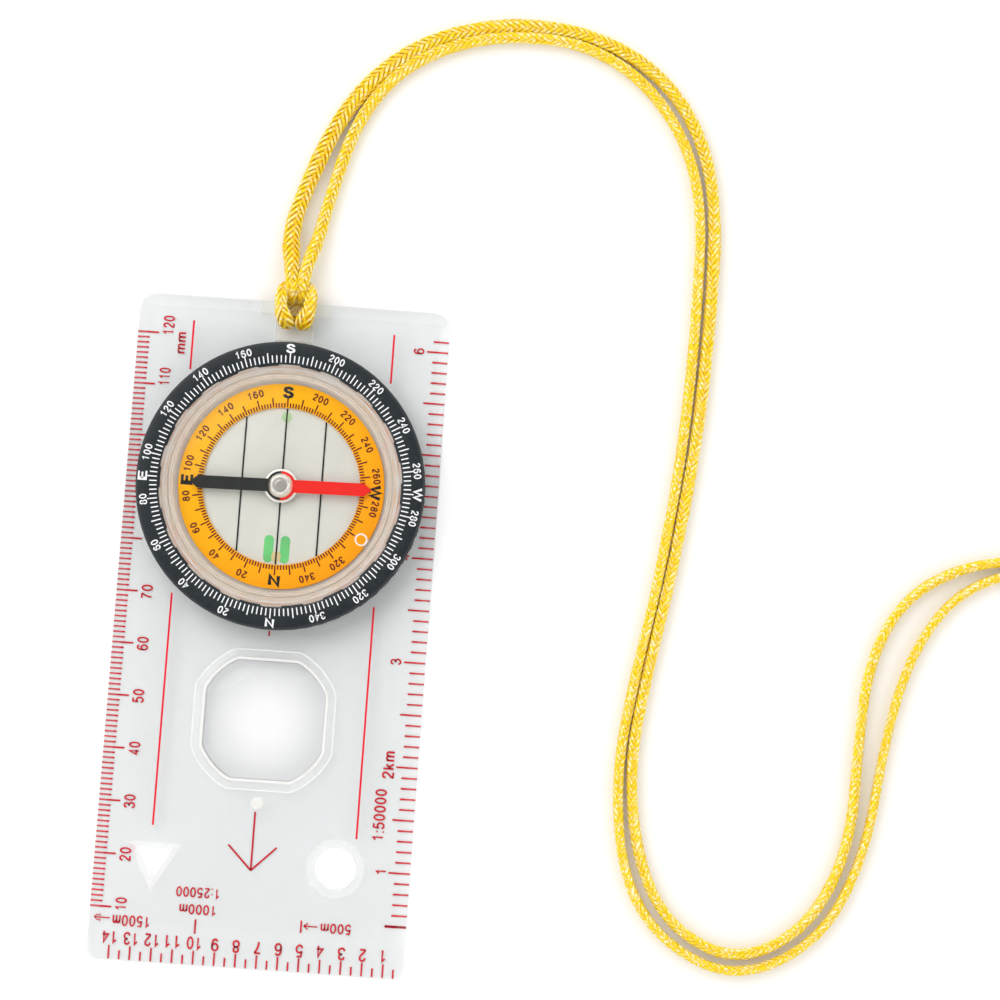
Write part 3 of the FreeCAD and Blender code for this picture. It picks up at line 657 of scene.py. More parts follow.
RED_ENAMEL = plain_finish("red_enamel", (0.82, 0.012, 0.006), 0.42, shade=0.02, depth=0.0005,
                         specular=0.2)
BLACK_ENAMEL = plain_finish("black_enamel", (0.016, 0.018, 0.017), 0.42, shade=0.04, depth=0.0005,
                           specular=0.2)
CAP_METAL = plain_finish("cap_metal", (0.93, 0.90, 0.85), 0.34, metallic=1.0, depth=0.003)
JEWEL = plain_finish("jewel", (0.42, 0.40, 0.37), 0.12, metallic=0.3, specular=0.9, coat=0.8)
BRASS = plain_finish("pivot_brass", (0.72, 0.50, 0.22), 0.3, metallic=1.0, depth=0.004)
STEEL = plain_finish("pivot_steel", (0.62, 0.62, 0.62), 0.25, metallic=1.0, depth=0.003)
WASHER = plain_finish("washer_steel", (0.86, 0.84, 0.81), 0.42, metallic=0.6, depth=0.004)
NYLON = clear_finish("clear_nylon", (0.95, 0.93, 0.90), (0.95, 0.94, 0.92), 0.08)
SEAL = seal_finish()
CORD = cord_finish()


# --- Lanyard ------------------------------------------------------------------------------------
# Each strand leaves the hitch over the bight, comes down to the surface that the plate stands on,
# and follows its route in X and Y there. Metres.
CORD_Z = 0.0013
LEFT_LIFT = [(-0.0010, 0.0669, 0.00375), (-0.0013, 0.0705, 0.0036), (-0.0022, 0.0760, 0.0019)]
RIGHT_LIFT = [(0.0010, 0.0669, 0.00375), (0.0013, 0.0705, 0.0036), (0.0031, 0.0760, 0.0019)]
LEFT_ROUTE = [
    (-0.0012, 0.083), (0.0053, 0.1008), (0.0141, 0.1121), (0.0253, 0.119), (0.0392, 0.1219),
    (0.0537, 0.1208), (0.0671, 0.1141), (0.076, 0.1025), (0.0798, 0.088), (0.08, 0.068),
    (0.079, 0.044), (0.076, 0.018), (0.072, -0.004), (0.07, -0.021), (0.073, -0.039),
    (0.08, -0.0505), (0.093, -0.056), (0.106, -0.0485), (0.113, -0.033), (0.1135, -0.013),
    (0.1145, 0.002), (0.12, 0.0145), (0.13, 0.0216), (0.142, 0.0243), (0.155, 0.024),
    (0.165, 0.018), (0.169, 0.006), (0.169, -0.006), (0.1665, -0.019), (0.1664, -0.031),
]
RIGHT_ROUTE = [
    (0.0042, 0.082), (0.0083, 0.0991), (0.0157, 0.1106), (0.0268, 0.1171), (0.04, 0.1197),
    (0.0527, 0.1186), (0.0643, 0.1123), (0.073, 0.1012), (0.077, 0.088), (0.0773, 0.069),
    (0.0766, 0.045), (0.0738, 0.018), (0.0698, -0.0045), (0.0676, -0.022), (0.07, -0.041),
    (0.078, -0.053), (0.093, -0.0593), (0.1085, -0.0508), (0.116, -0.034), (0.1183, -0.0138),
    (0.1215, 0.0016), (0.1279, 0.0139), (0.1363, 0.0202), (0.146, 0.0222), (0.154, 0.0205),
    (0.162, 0.015), (0.1655, 0.005), (0.1657, -0.007), (0.1635, -0.0195), (0.1634, -0.031),
]
# Width of each strand as a share of the cord's own, by distance along it in millimetres. The
# flat cord leans over on to its side further out.
LEFT_WIDTH = ((0, 1.05), (7, 1.42), (25, 1.42), (60, 1.2), (110, 1.06), (230, 0.86), (330, 0.76),
              (470, 0.76))
RIGHT_WIDTH = ((0, 1.05), (45, 0.97), (110, 0.82), (230, 0.74), (330, 0.65), (470, 0.7))
YARNS = 8                       # yarns that wind each way
TURN = 10.5                     # length of cord in which a yarn goes once round, in millimetres
STATION = 0.53                  # spacing of the sections along a strand
HITCH_STATION = 0.33
KNOT_STATION = 0.4
YARN_STAND = 0.90               # how far from the cord's middle the yarns stand
YARN_WEAVE = 0.16               # how far they go in and out
YARN_HALF_WIDTH = 0.41
YARN_HALF_DEPTH = 0.26
YARN_SIDES = 5
CORE_R = 0.78
CORE_SIDES = 6


def spline_line(points):
    """Points in metres along one smooth NURBS spline with the given control points."""
    curve = bpy.data.curves.new("route", "CURVE")
    curve.dimensions = "3D"
    curve.resolution_u = 16
    spline = curve.splines.new("NURBS")
    spline.points.add(len(points) - 1)
    spline.points.foreach_set("co", [part for point in points for part in (*point, 1.0)])
    spline.order_u = 3
    spline.use_endpoint_u = True
    holder = bpy.data.objects.new("route", curve)
    mesh = bpy.data.meshes.new_from_object(holder)
    line = np.empty(3 * len(mesh.vertices))
    mesh.vertices.foreach_get("co", line)
    bpy.data.meshes.remove(mesh)
    bpy.data.objects.remove(holder)
    bpy.data.curves.remove(curve)
    return line.reshape(-1, 3)


def even_line(line, spacing):
    """The same line with evenly spaced points, and the distance along it of each."""
    steps = np.linalg.norm(np.diff(line, axis=0), axis=1)
    distance = np.concatenate([[0.0], np.cumsum(steps)])
    count = max(2, int(round(distance[-1] / spacing)) + 1)
    wanted = np.linspace(0, distance[-1], count)
    places = np.stack([np.interp(wanted, distance, line[:, axis]) for axis in range(3)], axis=1)
    return places, wanted


def carried_sides(tangent, first):
    """Side directions carried along a line without twist: each is the one before it, made square
    to the new tangent."""
    sides = [first]
    for direction in tangent:
        side = sides[-1] - direction * np.dot(sides[-1], direction)
        sides.append(side / np.linalg.norm(side))
    return np.array(sides[1:])


def yarns(way, path, along, side, top):
    """The yarns that wind one way, as one part, with the place of each point in its yarn's fibres
    and its share of painted shade, from 0 to 1, more the deeper it lies between the yarns. A yarn at
    the angle t of the section stands at YARN_STAND + YARN_WEAVE sin 2t, or less by as much if it winds
    the other way. Slow waves along each yarn make it uneven. A yarn is a flattened five-sided tube."""
    corner = np.radians(90 + 360 / YARN_SIDES * np.arange(YARN_SIDES))
    lean = 0.35 * np.sin(2 * np.pi * along / 61.0) + 0.2 * np.sin(2 * np.pi * along / 23.0)
    first = 2 * np.pi * (np.arange(YARNS) + (0.5 if way < 0 else 0.0)) / YARNS
    angle = first[:, None] + way * 2 * np.pi * along[None, :] / TURN
    waves = np.sin(along[None, :] * 1.7 + first[:, None] * 9.1 + way)
    waves = waves * np.sin(along[None, :] * 0.61 + first[:, None] * 5.3)
    radius = YARN_STAND + way * YARN_WEAVE * np.sin(2 * angle) + 0.05 * waves
    turned = (angle + lean[None, :])[:, :, None]
    outwards = side[None] * np.cos(turned) + top[None] * np.sin(turned)
    middle = path[None] + outwards * radius[:, :, None]
    run = unit(np.gradient(middle, axis=1))
    width_way = unit(np.cross(run, outwards))
    thickness_way = np.cross(width_way, run)
    across = YARN_HALF_WIDTH * np.cos(corner)[None, None, :, None]
    rise = YARN_HALF_DEPTH * np.sin(corner)[None, None, :, None]
    tube = middle[:, :, None] + width_way[:, :, None] * across + thickness_way[:, :, None] * rise
    depth = np.broadcast_to(radius[:, :, None] + rise[..., 0], tube.shape[:3])
    fibre = np.empty(tube.shape)
    fibre[..., 0] = across[..., 0]
    fibre[..., 1] = along[None, :, None]
    fibre[..., 2] = first[:, None, None] + way
    quads = grid_faces(len(path), YARN_SIDES, False, True)
    starts = np.arange(YARNS) * len(path) * YARN_SIDES
    faces = (quads[None] + starts[:, None, None]).reshape(-1, 4).tolist()
    for start in starts:
        last = start + (len(path) - 1) * YARN_SIDES
        faces.append(list(range(start, start + YARN_SIDES)))
        faces.append(list(range(last, last + YARN_SIDES)))
    # painted shade: the deeper a point lies between the yarns, the more of the dark orange it is
    # painted
    crease = np.clip((1.29 - depth) / 0.42, 0, 1).ravel()
    return (tube.reshape(-1, 3), faces), fibre.reshape(-1, 3), crease


def braid(line, spacing, facing=None, squeeze=None):
    """Knitted cord along a line in millimetres: yarns that wind one way, as many that wind the
    other way, and a plain core. The two weave in and out by turns, so that the outer yarns lean
    one way in each quarter of the section and the quarters meet in rows of Vs. facing is the
    direction that the section's top faces, and squeeze its width and height as shares of a round
    one."""
    path, along = even_line(line, spacing)
    tangent = unit(np.gradient(path, axis=0))
    if facing is None:
        side = carried_sides(tangent, unit(np.cross(UP, tangent[0])))
    else:
        side = unit(np.cross(facing(path), tangent))
    top = np.cross(tangent, side)
    wide, tall = (np.ones(len(path)),) * 2 if squeeze is None else squeeze(path)
    side = side * wide[:, None]
    top = top * tall[:, None]
    angle = np.radians(360 / CORE_SIDES * np.arange(CORE_SIDES))[None, :, None]
    ring = side[:, None] * np.cos(angle) + top[:, None] * np.sin(angle)
    core = (path[:, None] + CORE_R * ring).reshape(-1, 3)
    core_part = (core, tube_faces(len(path), CORE_SIDES))
    groups = [yarns(way, path, along, side, top) for way in (1, -1)]
    # The core is painted all in shade, dark orange where it shows between the yarns.
    groups.append((core_part, np.zeros(core.shape), np.ones(len(core))))
    parts, fibres, crease_shades = zip(*groups)
    return stack(parts), {"fibre": np.concatenate(fibres), "crease": np.concatenate(crease_shades)}


def put_cord(name, part, extras, node_name):
    """A knitted part as a piece that stands for one of the lanyard's CAD nodes."""
    return put_piece(name, part, CORD, "plate", [node_name], sharp=180.0, weld=False,
                     extras=extras)


def faces_up(path):
    """The section's top faces straight up."""
    return np.broadcast_to(UP, path.shape)


# Control points of half of the hitch in millimetres: from the strand's start beyond the plate's end,
# under the bar, up through the slot, back over the bar, and down towards the bight in the middle.
HITCH_HALF = [
    (-1.0, 67.4, 3.75), (-0.98, 65.6, 3.7), (-1.05, 64.8, 1.7), (-1.2, 63.9, 0.7),
    (-1.3, 62.4, 0.68), (-1.35, 60.7, 0.72), (-1.45, 59.5, 1.8), (-1.55, 59.6, 3.6),
    (-2.5, 61.3, 4.25), (-2.9, 63.6, 4.15), (-2.8, 65.7, 3.2), (-1.8, 67.0, 2.0),
]
HITCH_MIDDLE = (0.0, 67.2, 1.4)
BAR_AXIS = (62.55, 2.1)         # Y and Z of the middle of the lanyard bar


def ribbon_like(widths):
    """Squeeze of a strand: its width follows the list, with slow waves, and its height is even."""
    def squeeze(path):
        """Shares of the width and of the height at each point."""
        steps = np.linalg.norm(np.diff(path, axis=0, prepend=path[:1]), axis=1)
        along = np.cumsum(steps)
        wide = np.interp(along, *zip(*widths)) * (1 + 0.03 * np.sin(along / 3.7))
        return wide, np.full(len(path), 0.92)
    return squeeze


def from_bar(path):
    """The section's top faces away from the lanyard bar's axis."""
    away = path.copy()
    away[:, 0] = 0.0
    away[:, 1] -= BAR_AXIS[0]
    away[:, 2] -= BAR_AXIS[1]
    return away


def under_bar(path):
    """The cord is flattened where it passes under the bar, between it and the surface below, and
    spreads a little where the two lobes meet over the slot."""
    deep = np.clip((1.5 - path[:, 2]) / 0.6, 0, 1) * np.clip((64.9 - path[:, 1]) / 0.8, 0, 1)
    over = np.clip((path[:, 2] - 1.6) / 1.2, 0, 1) * np.clip((62.5 - path[:, 1]) / 2.0, 0, 1)
    return 1 + 0.3 * deep + 0.45 * over, 1 - 0.5 * deep - 0.08 * over


KNOT_CENTRE = (164.9, -34.5, 4.4)


def knot_line(side):
    """One cord through the end knot: in through the middle, out at the far end, back round the
    outside in a helix of one and a half turns, and out through the middle to its tail."""
    centre = np.array(KNOT_CENTRE)
    way_in = np.array([(1.5, 9.0, -3.1), (1.5, 6.2, -2.4), (0.9, 2.5, -0.5), (0.5, -2.6, 0.0)])
    angle = np.radians(np.arange(0, 541, 60))
    helix = np.stack([3.05 * np.cos(angle), np.linspace(-4.4, 3.7, len(angle)),
                      3.05 * np.sin(angle)], axis=1)
    way_out = np.array([(-0.4, 2.8, 0.4), (0.2, -2.5, -0.4), (1.2, -7.0, -2.2), (1.45, -10.0, -3.1),
                        (1.5, -14.4, -3.1)])
    points = np.concatenate([way_in, helix, way_out])
    points[:, 0] *= side
    return spline_line((points + centre) * MM)


def make_lanyard():
    """The two strands, the hitch on the bar and the knot that ties the strands' ends."""
    mirrored = [(-x, y, z) for x, y, z in reversed(HITCH_HALF)]
    hitch_points = np.array(HITCH_HALF + [HITCH_MIDDLE] + mirrored) * MM
    hitch_line = spline_line(hitch_points) / MM
    hitch = put_cord("lanyard_hitch_cord", *braid(hitch_line, HITCH_STATION, from_bar, under_bar),
                     "lanyard_hitch")
    parts, looks = zip(*[braid(knot_line(side) / MM, KNOT_STATION) for side in (1, -1)])
    extras = {key: np.concatenate([look[key] for look in looks]) for key in ("fibre", "crease")}
    knot = put_cord("lanyard_knot_cord", stack(parts), extras, "lanyard_end_knot")
    strands = (("lanyard_strand_left", LEFT_LIFT, LEFT_ROUTE, LEFT_WIDTH),
               ("lanyard_strand_right", RIGHT_LIFT, RIGHT_ROUTE, RIGHT_WIDTH))
    for name, lift, route, widths in strands:
        points = lift + [(x, y, CORD_Z) for x, y in route]
        line = spline_line(points)
        strand = put_cord(name + "_cord", *braid(line / MM, STATION, faces_up, ribbon_like(widths)),
                          name)


make_lanyard()


# --- Baseplate ----------------------------------------------------------------------------------
PRINT_Z = (0.03, 0.06)          # the print lies just above the plate's underside
PRINT_LEFT, PRINT_RIGHT = -29.95, 29.55
# Labels of the plate: text, X, distance from the ruler end, height, turn in degrees, and width.
MILLIMETRE_LABELS = [(str(value), -24.3, value, 2.2, 90, 2.6) for value in range(20, 80, 10)] + [
    ("10", -24.4, 10.7, 2.2, 90, 2.3), ("110", -24.4, 111.6, 2.2, 90, 3.3),
    ("120", -24.4, 121.6, 2.2, 90, 3.6), ("mm", -21.6, 118.3, 2.0, 90, 4.15),
]
KILOMETRE_LABELS = [(str(value), 24.2, 20 * value, 2.1, 90, None) for value in (1, 3, 4, 5, 6)] + [
    ("2km", 24.3, 40.3, 2.3, 90, 5.2), ("1:50000", 23.2, 30.8, 2.25, 90, 9.7),
]
RULER_END_LABELS = [
    (str(value), 30 - 4 * value, 4.3, 2.5, 180, None if value < 10 else 2.7)
    for value in range(1, 15)
] + [
    ("1:25000", -10.0, 13.7, 1.95, 180, 8.2), ("1000m", -9.8, 10.5, 1.95, 180, 6.9),
    ("1500m", -22.2, 7.6, 1.95, 180, 7.0), ("500m", 16.6, 8.8, 1.95, 180, 5.8),
]


def make_plate_print():
    """Scales, lettering and the travel arrow, in red on the plate's underside."""
    parts = []

    def ticks(starts, ends, width=0.33):
        """Straight lines from starts to ends."""
        parts.append(slabs(starts, ends, width, *PRINT_Z))

    def labels(rows):
        """Every label of a list."""
        for text, x, from_front, height, turn, width in rows:
            place_xy = (x, PLATE_FRONT + from_front)
            parts.append(lettering(text, place_xy, height, turn, *PRINT_Z, width))

    def edge_scale(edge, marks, inwards, long_reach, short_reach):
        """Ticks inwards from a long edge at distances from the ruler end, every tenth longer."""
        y = PLATE_FRONT + marks
        reach = edge + inwards * np.where(marks % 10 == 0, long_reach, short_reach)
        ticks(np.stack([np.full(len(y), edge), y], 1), np.stack([reach, y], 1))

    # Millimetres on the left edge
    edge_scale(PRINT_LEFT, np.arange(10, 121), 1, 3.85, 2.1)
    labels(MILLIMETRE_LABELS)

    # Kilometres at 1:50000 on the right edge
    edge_scale(PRINT_RIGHT, np.arange(10, 123, 2), -1, 3.8, 2.65)
    ticks([(PRINT_RIGHT, PLATE_FRONT + 9.85)], [(PRINT_RIGHT - 3.8, PLATE_FRONT + 9.85)])
    labels(KILOMETRE_LABELS)

    # Kilometres at 1:25000 on the ruler end
    count = np.arange(1, 15)
    for x, reach in ((30 - 4 * count, 2.9), (32 - 4 * count, 2.0)):
        ticks(np.stack([x, np.full(14, PLATE_FRONT + 0.3)], 1),
              np.stack([x, np.full(14, PLATE_FRONT + reach)], 1))
    labels(RULER_END_LABELS)
    for x, start, end in ((-10.0, 8.7, 6.2), (10.0, 9.9, 7.6)):
        ticks([(x, PLATE_FRONT + start)], [(x, PLATE_FRONT + end)])
    for x, from_front in ((-27.5, 7.9), (11.8, 8.9)):
        y = PLATE_FRONT + from_front
        tip = x - 1.3
        ticks([(x + 1.3, y), (tip, y), (tip, y)],
              [(tip, y), (tip + 0.8, y + 0.6), (tip + 0.8, y - 0.6)], 0.22)

    # Direction of travel arrow, and the index line beside the azimuth ring
    middle, shaft_top, wings, tip, spread = -0.35, -34.05, -40.55, -45.15, 4.6
    ticks([(middle, shaft_top), (middle, tip), (middle, tip)],
          [(middle, tip), (middle + spread, wings), (middle - spread, wings)], 0.34)
    ticks([(middle, 0.4)], [(middle, -0.6)], 0.3)
    put_print("plate_print", stack(parts), RED_PRINT, "plate")


def make_orienting_lines():
    """The two long red lines on the plate's top face. They pass under the clear edge of the
    housing and stop short of the azimuth ring on each side."""
    low_z, high_z = PLATE_TOP + 0.004, PLATE_TOP + 0.016
    middle_y, near, far, side_x = DIAL_CENTRE[1], 3.7, 12.9, 19.3
    spans = [(-37.75, 6.3), (middle_y - far, middle_y - near), (middle_y + near, middle_y + far),
             (49.3, 58.8)]
    starts = [(x, low) for x in (-side_x, side_x) for low, _ in spans]
    ends = [(x, high) for x in (-side_x, side_x) for _, high in spans]
    put_print("orienting_lines", slabs(starts, ends, 0.38, low_z, high_z), RED_PRINT, "plate")


MAGNIFIER_R = 13.1
MAGNIFIER_RISE = 1.2
MAGNIFIER_EDGE_Z = 1.5


def magnifier_reach(angle, grow):
    """Distance from the magnifier's middle to its outline, grown by some millimetres. A ray at an
    angle ends on a circle or on one of four flats, whichever is nearer."""
    half_x, half_y = (GLASS_HIGH - GLASS_LOW)[:2] / 2 + grow
    return np.minimum(MAGNIFIER_R + grow, np.minimum(half_x / np.maximum(abs(np.cos(angle)), 1e-6),
                                              half_y / np.maximum(abs(np.sin(angle)), 1e-6)))


def make_magnifier():
    """Clear lens with a domed top, which falls as a sphere does with the distance."""
    sphere_r = (MAGNIFIER_R ** 2 + MAGNIFIER_RISE ** 2) / (2 * MAGNIFIER_RISE)
    angle = np.linspace(0, 2 * np.pi, 360, endpoint=False)[:, None]
    share = np.concatenate([np.linspace(0, 1, 25), [1.0], np.linspace(1, 0, 7)])[None, :]
    is_top = (np.arange(share.shape[1]) < 25)[None, :]
    radius = magnifier_reach(angle, -0.05) * share
    dome = MAGNIFIER_EDGE_Z + MAGNIFIER_RISE - sphere_r + np.sqrt(sphere_r ** 2 - radius ** 2)
    height = np.where(is_top, dome, GLASS_LOW[2] + 0.03)
    points = around(GLASS_CENTRE, radius, angle, height)
    part = (points.reshape(-1, 3), grid_faces(360, share.shape[1], True, False))
    put_piece("magnifier_glass", part, MAGNIFIER, "plate", ["magnifier_lens"])


def make_frame_lines():
    """Painted highlights: white frosted lines at the inner and the outer edge of the bevel round the
    magnifier, for the bright edges there; the inner one also covers the dark outline at the lens's
    wall. They run along the lens's outline grown by a little or by the bevel's width."""
    angle = np.linspace(0, 2 * np.pi, 360, endpoint=False)
    lines = []
    for grow, width, low_z in ((-0.2, 0.5, PLATE_TOP - 0.74), (1.5, 0.22, PLATE_TOP + 0.005)):
        path = around(GLASS_CENTRE, magnifier_reach(angle, grow), angle)
        lines.append(ribbon(path, True, width, low_z, low_z + 0.02))
    put_print("magnifier_frame_highlights", stack(lines), HIGHLIGHT_FROST, "plate")


def make_gate_mark():
    """Low clear button where the plate was filled in its mould, a flat dome over a small circle."""
    low_z = PLATE_TOP + 0.01
    profile = soft_corners([(0, low_z), (1.15, low_z), (1.15, low_z + 0.1), (0, low_z + 0.14)], 0.08,
                           closed=False)
    part = lathe(profile, 48, closed=False, centre=(0.0, -32.3))
    put_piece("gate_mark", part, FAINT_FROST, "plate")


def paint_node(name, material):
    """Gives a CAD node that is shown a new material."""
    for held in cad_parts[name].material_slots:
        held.material = material


paint_node("baseplate", CLEAR)
make_plate_print()
make_orienting_lines()
make_magnifier()
make_frame_lines()
make_gate_mark()


# --- Housing ------------------------------------------------------------------------------------
LUGS = 18
LUG_DEPTH = 0.26
FLUTES = 60
FLUTE_R = 0.9
FLUTE_DEPTH = 0.3
LIP_Z = RING_HIGH[2] - 1.0


def lug_share(angle):
    """One at each lug and nought between them, with short slopes: the lugs take every other half
    pitch, with one in the middle of angle nought."""
    wave = np.cos(angle * LUGS)
    return np.clip(0.5 + wave * 6.0, 0, 1)


def ring_shape(angle, radius, height):
    """Grip flutes cut in the outer wall below the lip as round hollows, and lugs that stand in from
    the inner wall."""
    pitch = 2 * np.pi / FLUTES
    offset = ((angle + pitch / 2) % pitch - pitch / 2) * RING_R
    hollow = np.sqrt(np.maximum(FLUTE_R ** 2 - offset ** 2, 0)) - (FLUTE_R - FLUTE_DEPTH)
    cut = np.maximum(hollow, 0) * (height < LIP_Z) * (radius > RING_R - 1.0)
    lug = LUG_DEPTH * lug_share(angle) * (radius < CAPSULE_R + 0.2)
    return -cut - lug


def make_azimuth_ring():
    """Black ring: its section with soft corners, turned about the housing's axis in the shape of
    ring_shape."""
    inner = CAPSULE_R + 0.03
    low_z, high_z = RING_LOW[2], RING_HIGH[2]
    outline = [(inner, low_z), (RING_R - 0.4, low_z), (RING_R, low_z + 0.4), (RING_R, LIP_Z - 0.02),
               (RING_R, LIP_Z + 0.02), (RING_R, high_z - 0.35), (RING_R - 0.4, high_z),
               (inner, high_z)]
    profile = soft_corners(outline, 0.14, steps=2)
    part = lathe(profile, 1440, shape=ring_shape)
    put_piece("azimuth_ring_body", part, BLACK, "housing", ["azimuth_ring"],
              sharp=50.0)


def bearing_labels():
    """Each label's text and bearing: the four quarters, and every twenty degrees between them."""
    quarters = [("N", 0), ("E", 90), ("S", 180), ("W", 270)]
    return quarters, [(str(value), value) for value in range(20, 360, 20) if value != 180]


def scale_ticks(radii_short, radii_long, width, low_z, high_z):
    """A tick every two degrees, longer every ten."""
    degrees = np.arange(0, 360, 2)
    is_long = degrees % 10 == 0
    inner = np.where(is_long, radii_long[0], radii_short[0])
    outer = np.where(is_long, radii_long[1], radii_short[1])
    return slabs(on_dial(inner, degrees), on_dial(outer, degrees), width, low_z, high_z)


def around_dial(text, bearing, radius, height, width, low_z, high_z, weight):
    """A label at its bearing on the dial, with its top outwards. North is towards the ruler end."""
    degrees = -90 - bearing
    centre = on_dial(radius, degrees)
    return lettering(text, centre, height, degrees - 90, low_z, high_z, width, weight)


def make_ring_print():
    """White scale on the azimuth ring."""
    low_z, high_z = RING_HIGH[2] - 0.01, RING_HIGH[2] + 0.015
    quarters, numbers = bearing_labels()
    parts = [scale_ticks((23.45, 24.85), (23.45, 25.35), 0.22, low_z, high_z)]
    for text, bearing in numbers:
        parts.append(around_dial(text, bearing, 26.1, 1.45, 1.02 * len(text), low_z, high_z, 0.15))
    for text, bearing in quarters:
        width = 2.6 if text == "W" else 1.75
        parts.append(around_dial(text, bearing, 26.2, 1.75, width, low_z, high_z, 0.19))
    put_print("ring_print", stack(parts), WHITE_PRINT, "housing")


DIAL_BORE_R = 15.0              # the orange ring's inner radius
MERIDIAN_SPACING = 7.6
MERIDIAN_REACH = 14.9
PLUG_BEARING = 300              # the filler plug stands here, and the dial has no number under it


def make_dial_print():
    """Dark scale on the orange ring, with the four quarters in near black."""
    low_z, high_z = DIAL_HIGH[2] - 0.01, DIAL_HIGH[2] + 0.015
    quarters, numbers = bearing_labels()
    parts = [scale_ticks((15.05, 15.95), (15.15, 17.0), 0.28, low_z, high_z)]
    for text, bearing in numbers:
        if bearing != PLUG_BEARING:
            width = 1.02 * len(text)
            parts.append(around_dial(text, bearing, 18.2, 1.45, width, low_z, high_z, 0.18))
    put_print("dial_scale_print", stack(parts), DARK_PRINT, "housing")
    widths = {"N": 2.3, "E": 2.0, "S": 2.1, "W": 3.0}
    letters = [around_dial(text, bearing, 18.0, 2.3, widths[text], low_z, high_z, 0.23)
               for text, bearing in quarters]
    put_print("dial_quarter_print", stack(letters), BLACK_PRINT, "housing")
    chords = MERIDIAN_SPACING * np.array([-1, 0, 1])
    reach = np.sqrt(MERIDIAN_REACH ** 2 - chords ** 2)
    x = DIAL_CENTRE[0] + chords
    lines = slabs(np.stack([x, DIAL_CENTRE[1] - reach], 1), np.stack([x, DIAL_CENTRE[1] + reach], 1),
                  0.3, DISC_HIGH[2] - 0.01, DISC_HIGH[2] + 0.125)
    put_print("meridian_lines", lines, BLACK_PRINT, "housing")


def make_dial():
    """Cream disc and orange ring, turned with soft edges."""
    bore = 1.3
    low_z = DISC_LOW[2] + 0.03
    disc = band(bore, DISC_R, low_z, DISC_HIGH[2])
    put_piece("dial_disc_plate", lathe(soft_corners(disc, 0.12)), CREAM, "housing",
              ["dial_disc"])
    low_z = DIAL_LOW[2] + 0.02
    ring = band(DIAL_BORE_R, DIAL_R, low_z, DIAL_HIGH[2])
    put_piece("dial_ring_band", lathe(soft_corners(ring, 0.1)), ORANGE, "housing",
              ["dial_ring"])


def tablet(centre, half_width, half_length, low_z, height):
    """Raised tablet with round ends. At each inset d its outline is a stadium smaller by d all
    round, and the height rises from the edge in a quarter curve."""
    angle = np.linspace(0, 2 * np.pi, 48, endpoint=False) + np.pi / 48
    inset = np.array([1.0, 0.0, 0.0, 0.08, 0.22, 0.45, 1.0])[None, :] * half_width
    level = np.array([0.0, 0.0, 0.45, 0.75, 0.92, 1.0, 1.0])[None, :] * height
    straight = (half_length - half_width) * np.sign(np.sin(angle))[:, None]
    radius = half_width - inset
    points = np.stack([centre[0] + radius * np.cos(angle)[:, None],
                       centre[1] + straight + radius * np.sin(angle)[:, None],
                       low_z + np.broadcast_to(level, (48, 7))], axis=-1)
    return points.reshape(-1, 3), grid_faces(48, 7, True, False)


def make_marks():
    """Luminous tablets on the disc: two bars at north, a pale dot at each other quarter, and a
    thin peach dot between the bars."""
    low_z = DISC_HIGH[2]
    bars = [tablet((DIAL_CENTRE[0] + side * 1.55, DIAL_CENTRE[1] - 12.0), 0.9, 2.6, low_z, 0.1)
            for side in (-1, 1)]
    put_piece("luminous_bars", stack(bars), GREEN, "housing", ["luminous_marks"])
    dots = [tablet(on_dial(13.3, degrees), 1.0, 1.0, low_z, 0.1) for degrees in (0, 90, 180)]
    put_piece("luminous_dots", stack(dots), PALE_GREEN, "housing")
    peach = tablet(on_dial(13.45, -90), 1.05, 1.05, low_z - 0.005, 0.12)
    put_piece("north_dot", peach, PEACH, "housing")


def make_capsule():
    """Clear capsule base, turned as one with notches for the ring's lugs, and its seal."""
    def notches(angle, radius, height):
        """The outer wall steps in at each lug."""
        return -LUG_DEPTH * lug_share(angle) * (radius > CAPSULE_R - 0.3)

    low_z, rim_z = CAPSULE_LOW[2], CAPSULE_HIGH[2]
    cup_r, bowl_r, mouth_r = 18.76, 17.8, 20.4
    shelf_z, step_z, floor_z = 2.95, 3.4, 1.3
    groove_inner, groove_outer, groove_z = 20.8, 21.5, rim_z - 0.6
    outline = [
        (0, low_z), (cup_r, low_z), (cup_r, shelf_z), (CAPSULE_R, shelf_z), (CAPSULE_R, rim_z),
        (groove_outer, rim_z), (groove_outer, groove_z), (groove_inner, groove_z),
        (groove_inner, rim_z), (mouth_r, rim_z), (mouth_r, step_z), (bowl_r, step_z),
        (bowl_r, floor_z), (0, floor_z),
    ]
    profile = soft_corners(outline, 0.12, steps=2, closed=False)
    put_piece("capsule_shell", lathe(profile, 1080, closed=False, shape=notches), CLEAR_CAPSULE,
              "housing", ["capsule_base"], sharp=50.0)
    seal = soft_corners(band(20.83, 21.2, rim_z - 0.58, rim_z - 0.02), 0.12)
    put_piece("capsule_seal_ring", lathe(seal, 360), SEAL, "housing", ["capsule_seal"])


def cut_plug_hole(lens):
    """Cuts a round hole for the filler plug through the lens with an upright cylinder."""
    points, faces = lathe(band(0, PLUG_R, 5.0, 10.0), 64, closed=False, centre=PLUG_CENTRE)
    hole = bpy.data.meshes.new("plug_hole")
    hole.from_pydata((points * MM).tolist(), [], faces.tolist())
    face_outwards(hole, 0.0001)
    cutter = bpy.data.objects.new("plug_hole", hole)
    bpy.context.scene.collection.objects.link(cutter)
    cut = lens.modifiers.new("plug_hole", "BOOLEAN")
    cut.object = cutter
    cut.solver = "EXACT"
    bpy.context.view_layer.update()
    graph = bpy.context.evaluated_depsgraph_get()
    lens_with_hole = bpy.data.meshes.new_from_object(lens.evaluated_get(graph))
    lens.modifiers.clear()
    lens.data = lens_with_hole
    bpy.data.objects.remove(cutter)
    bpy.data.meshes.remove(hole)


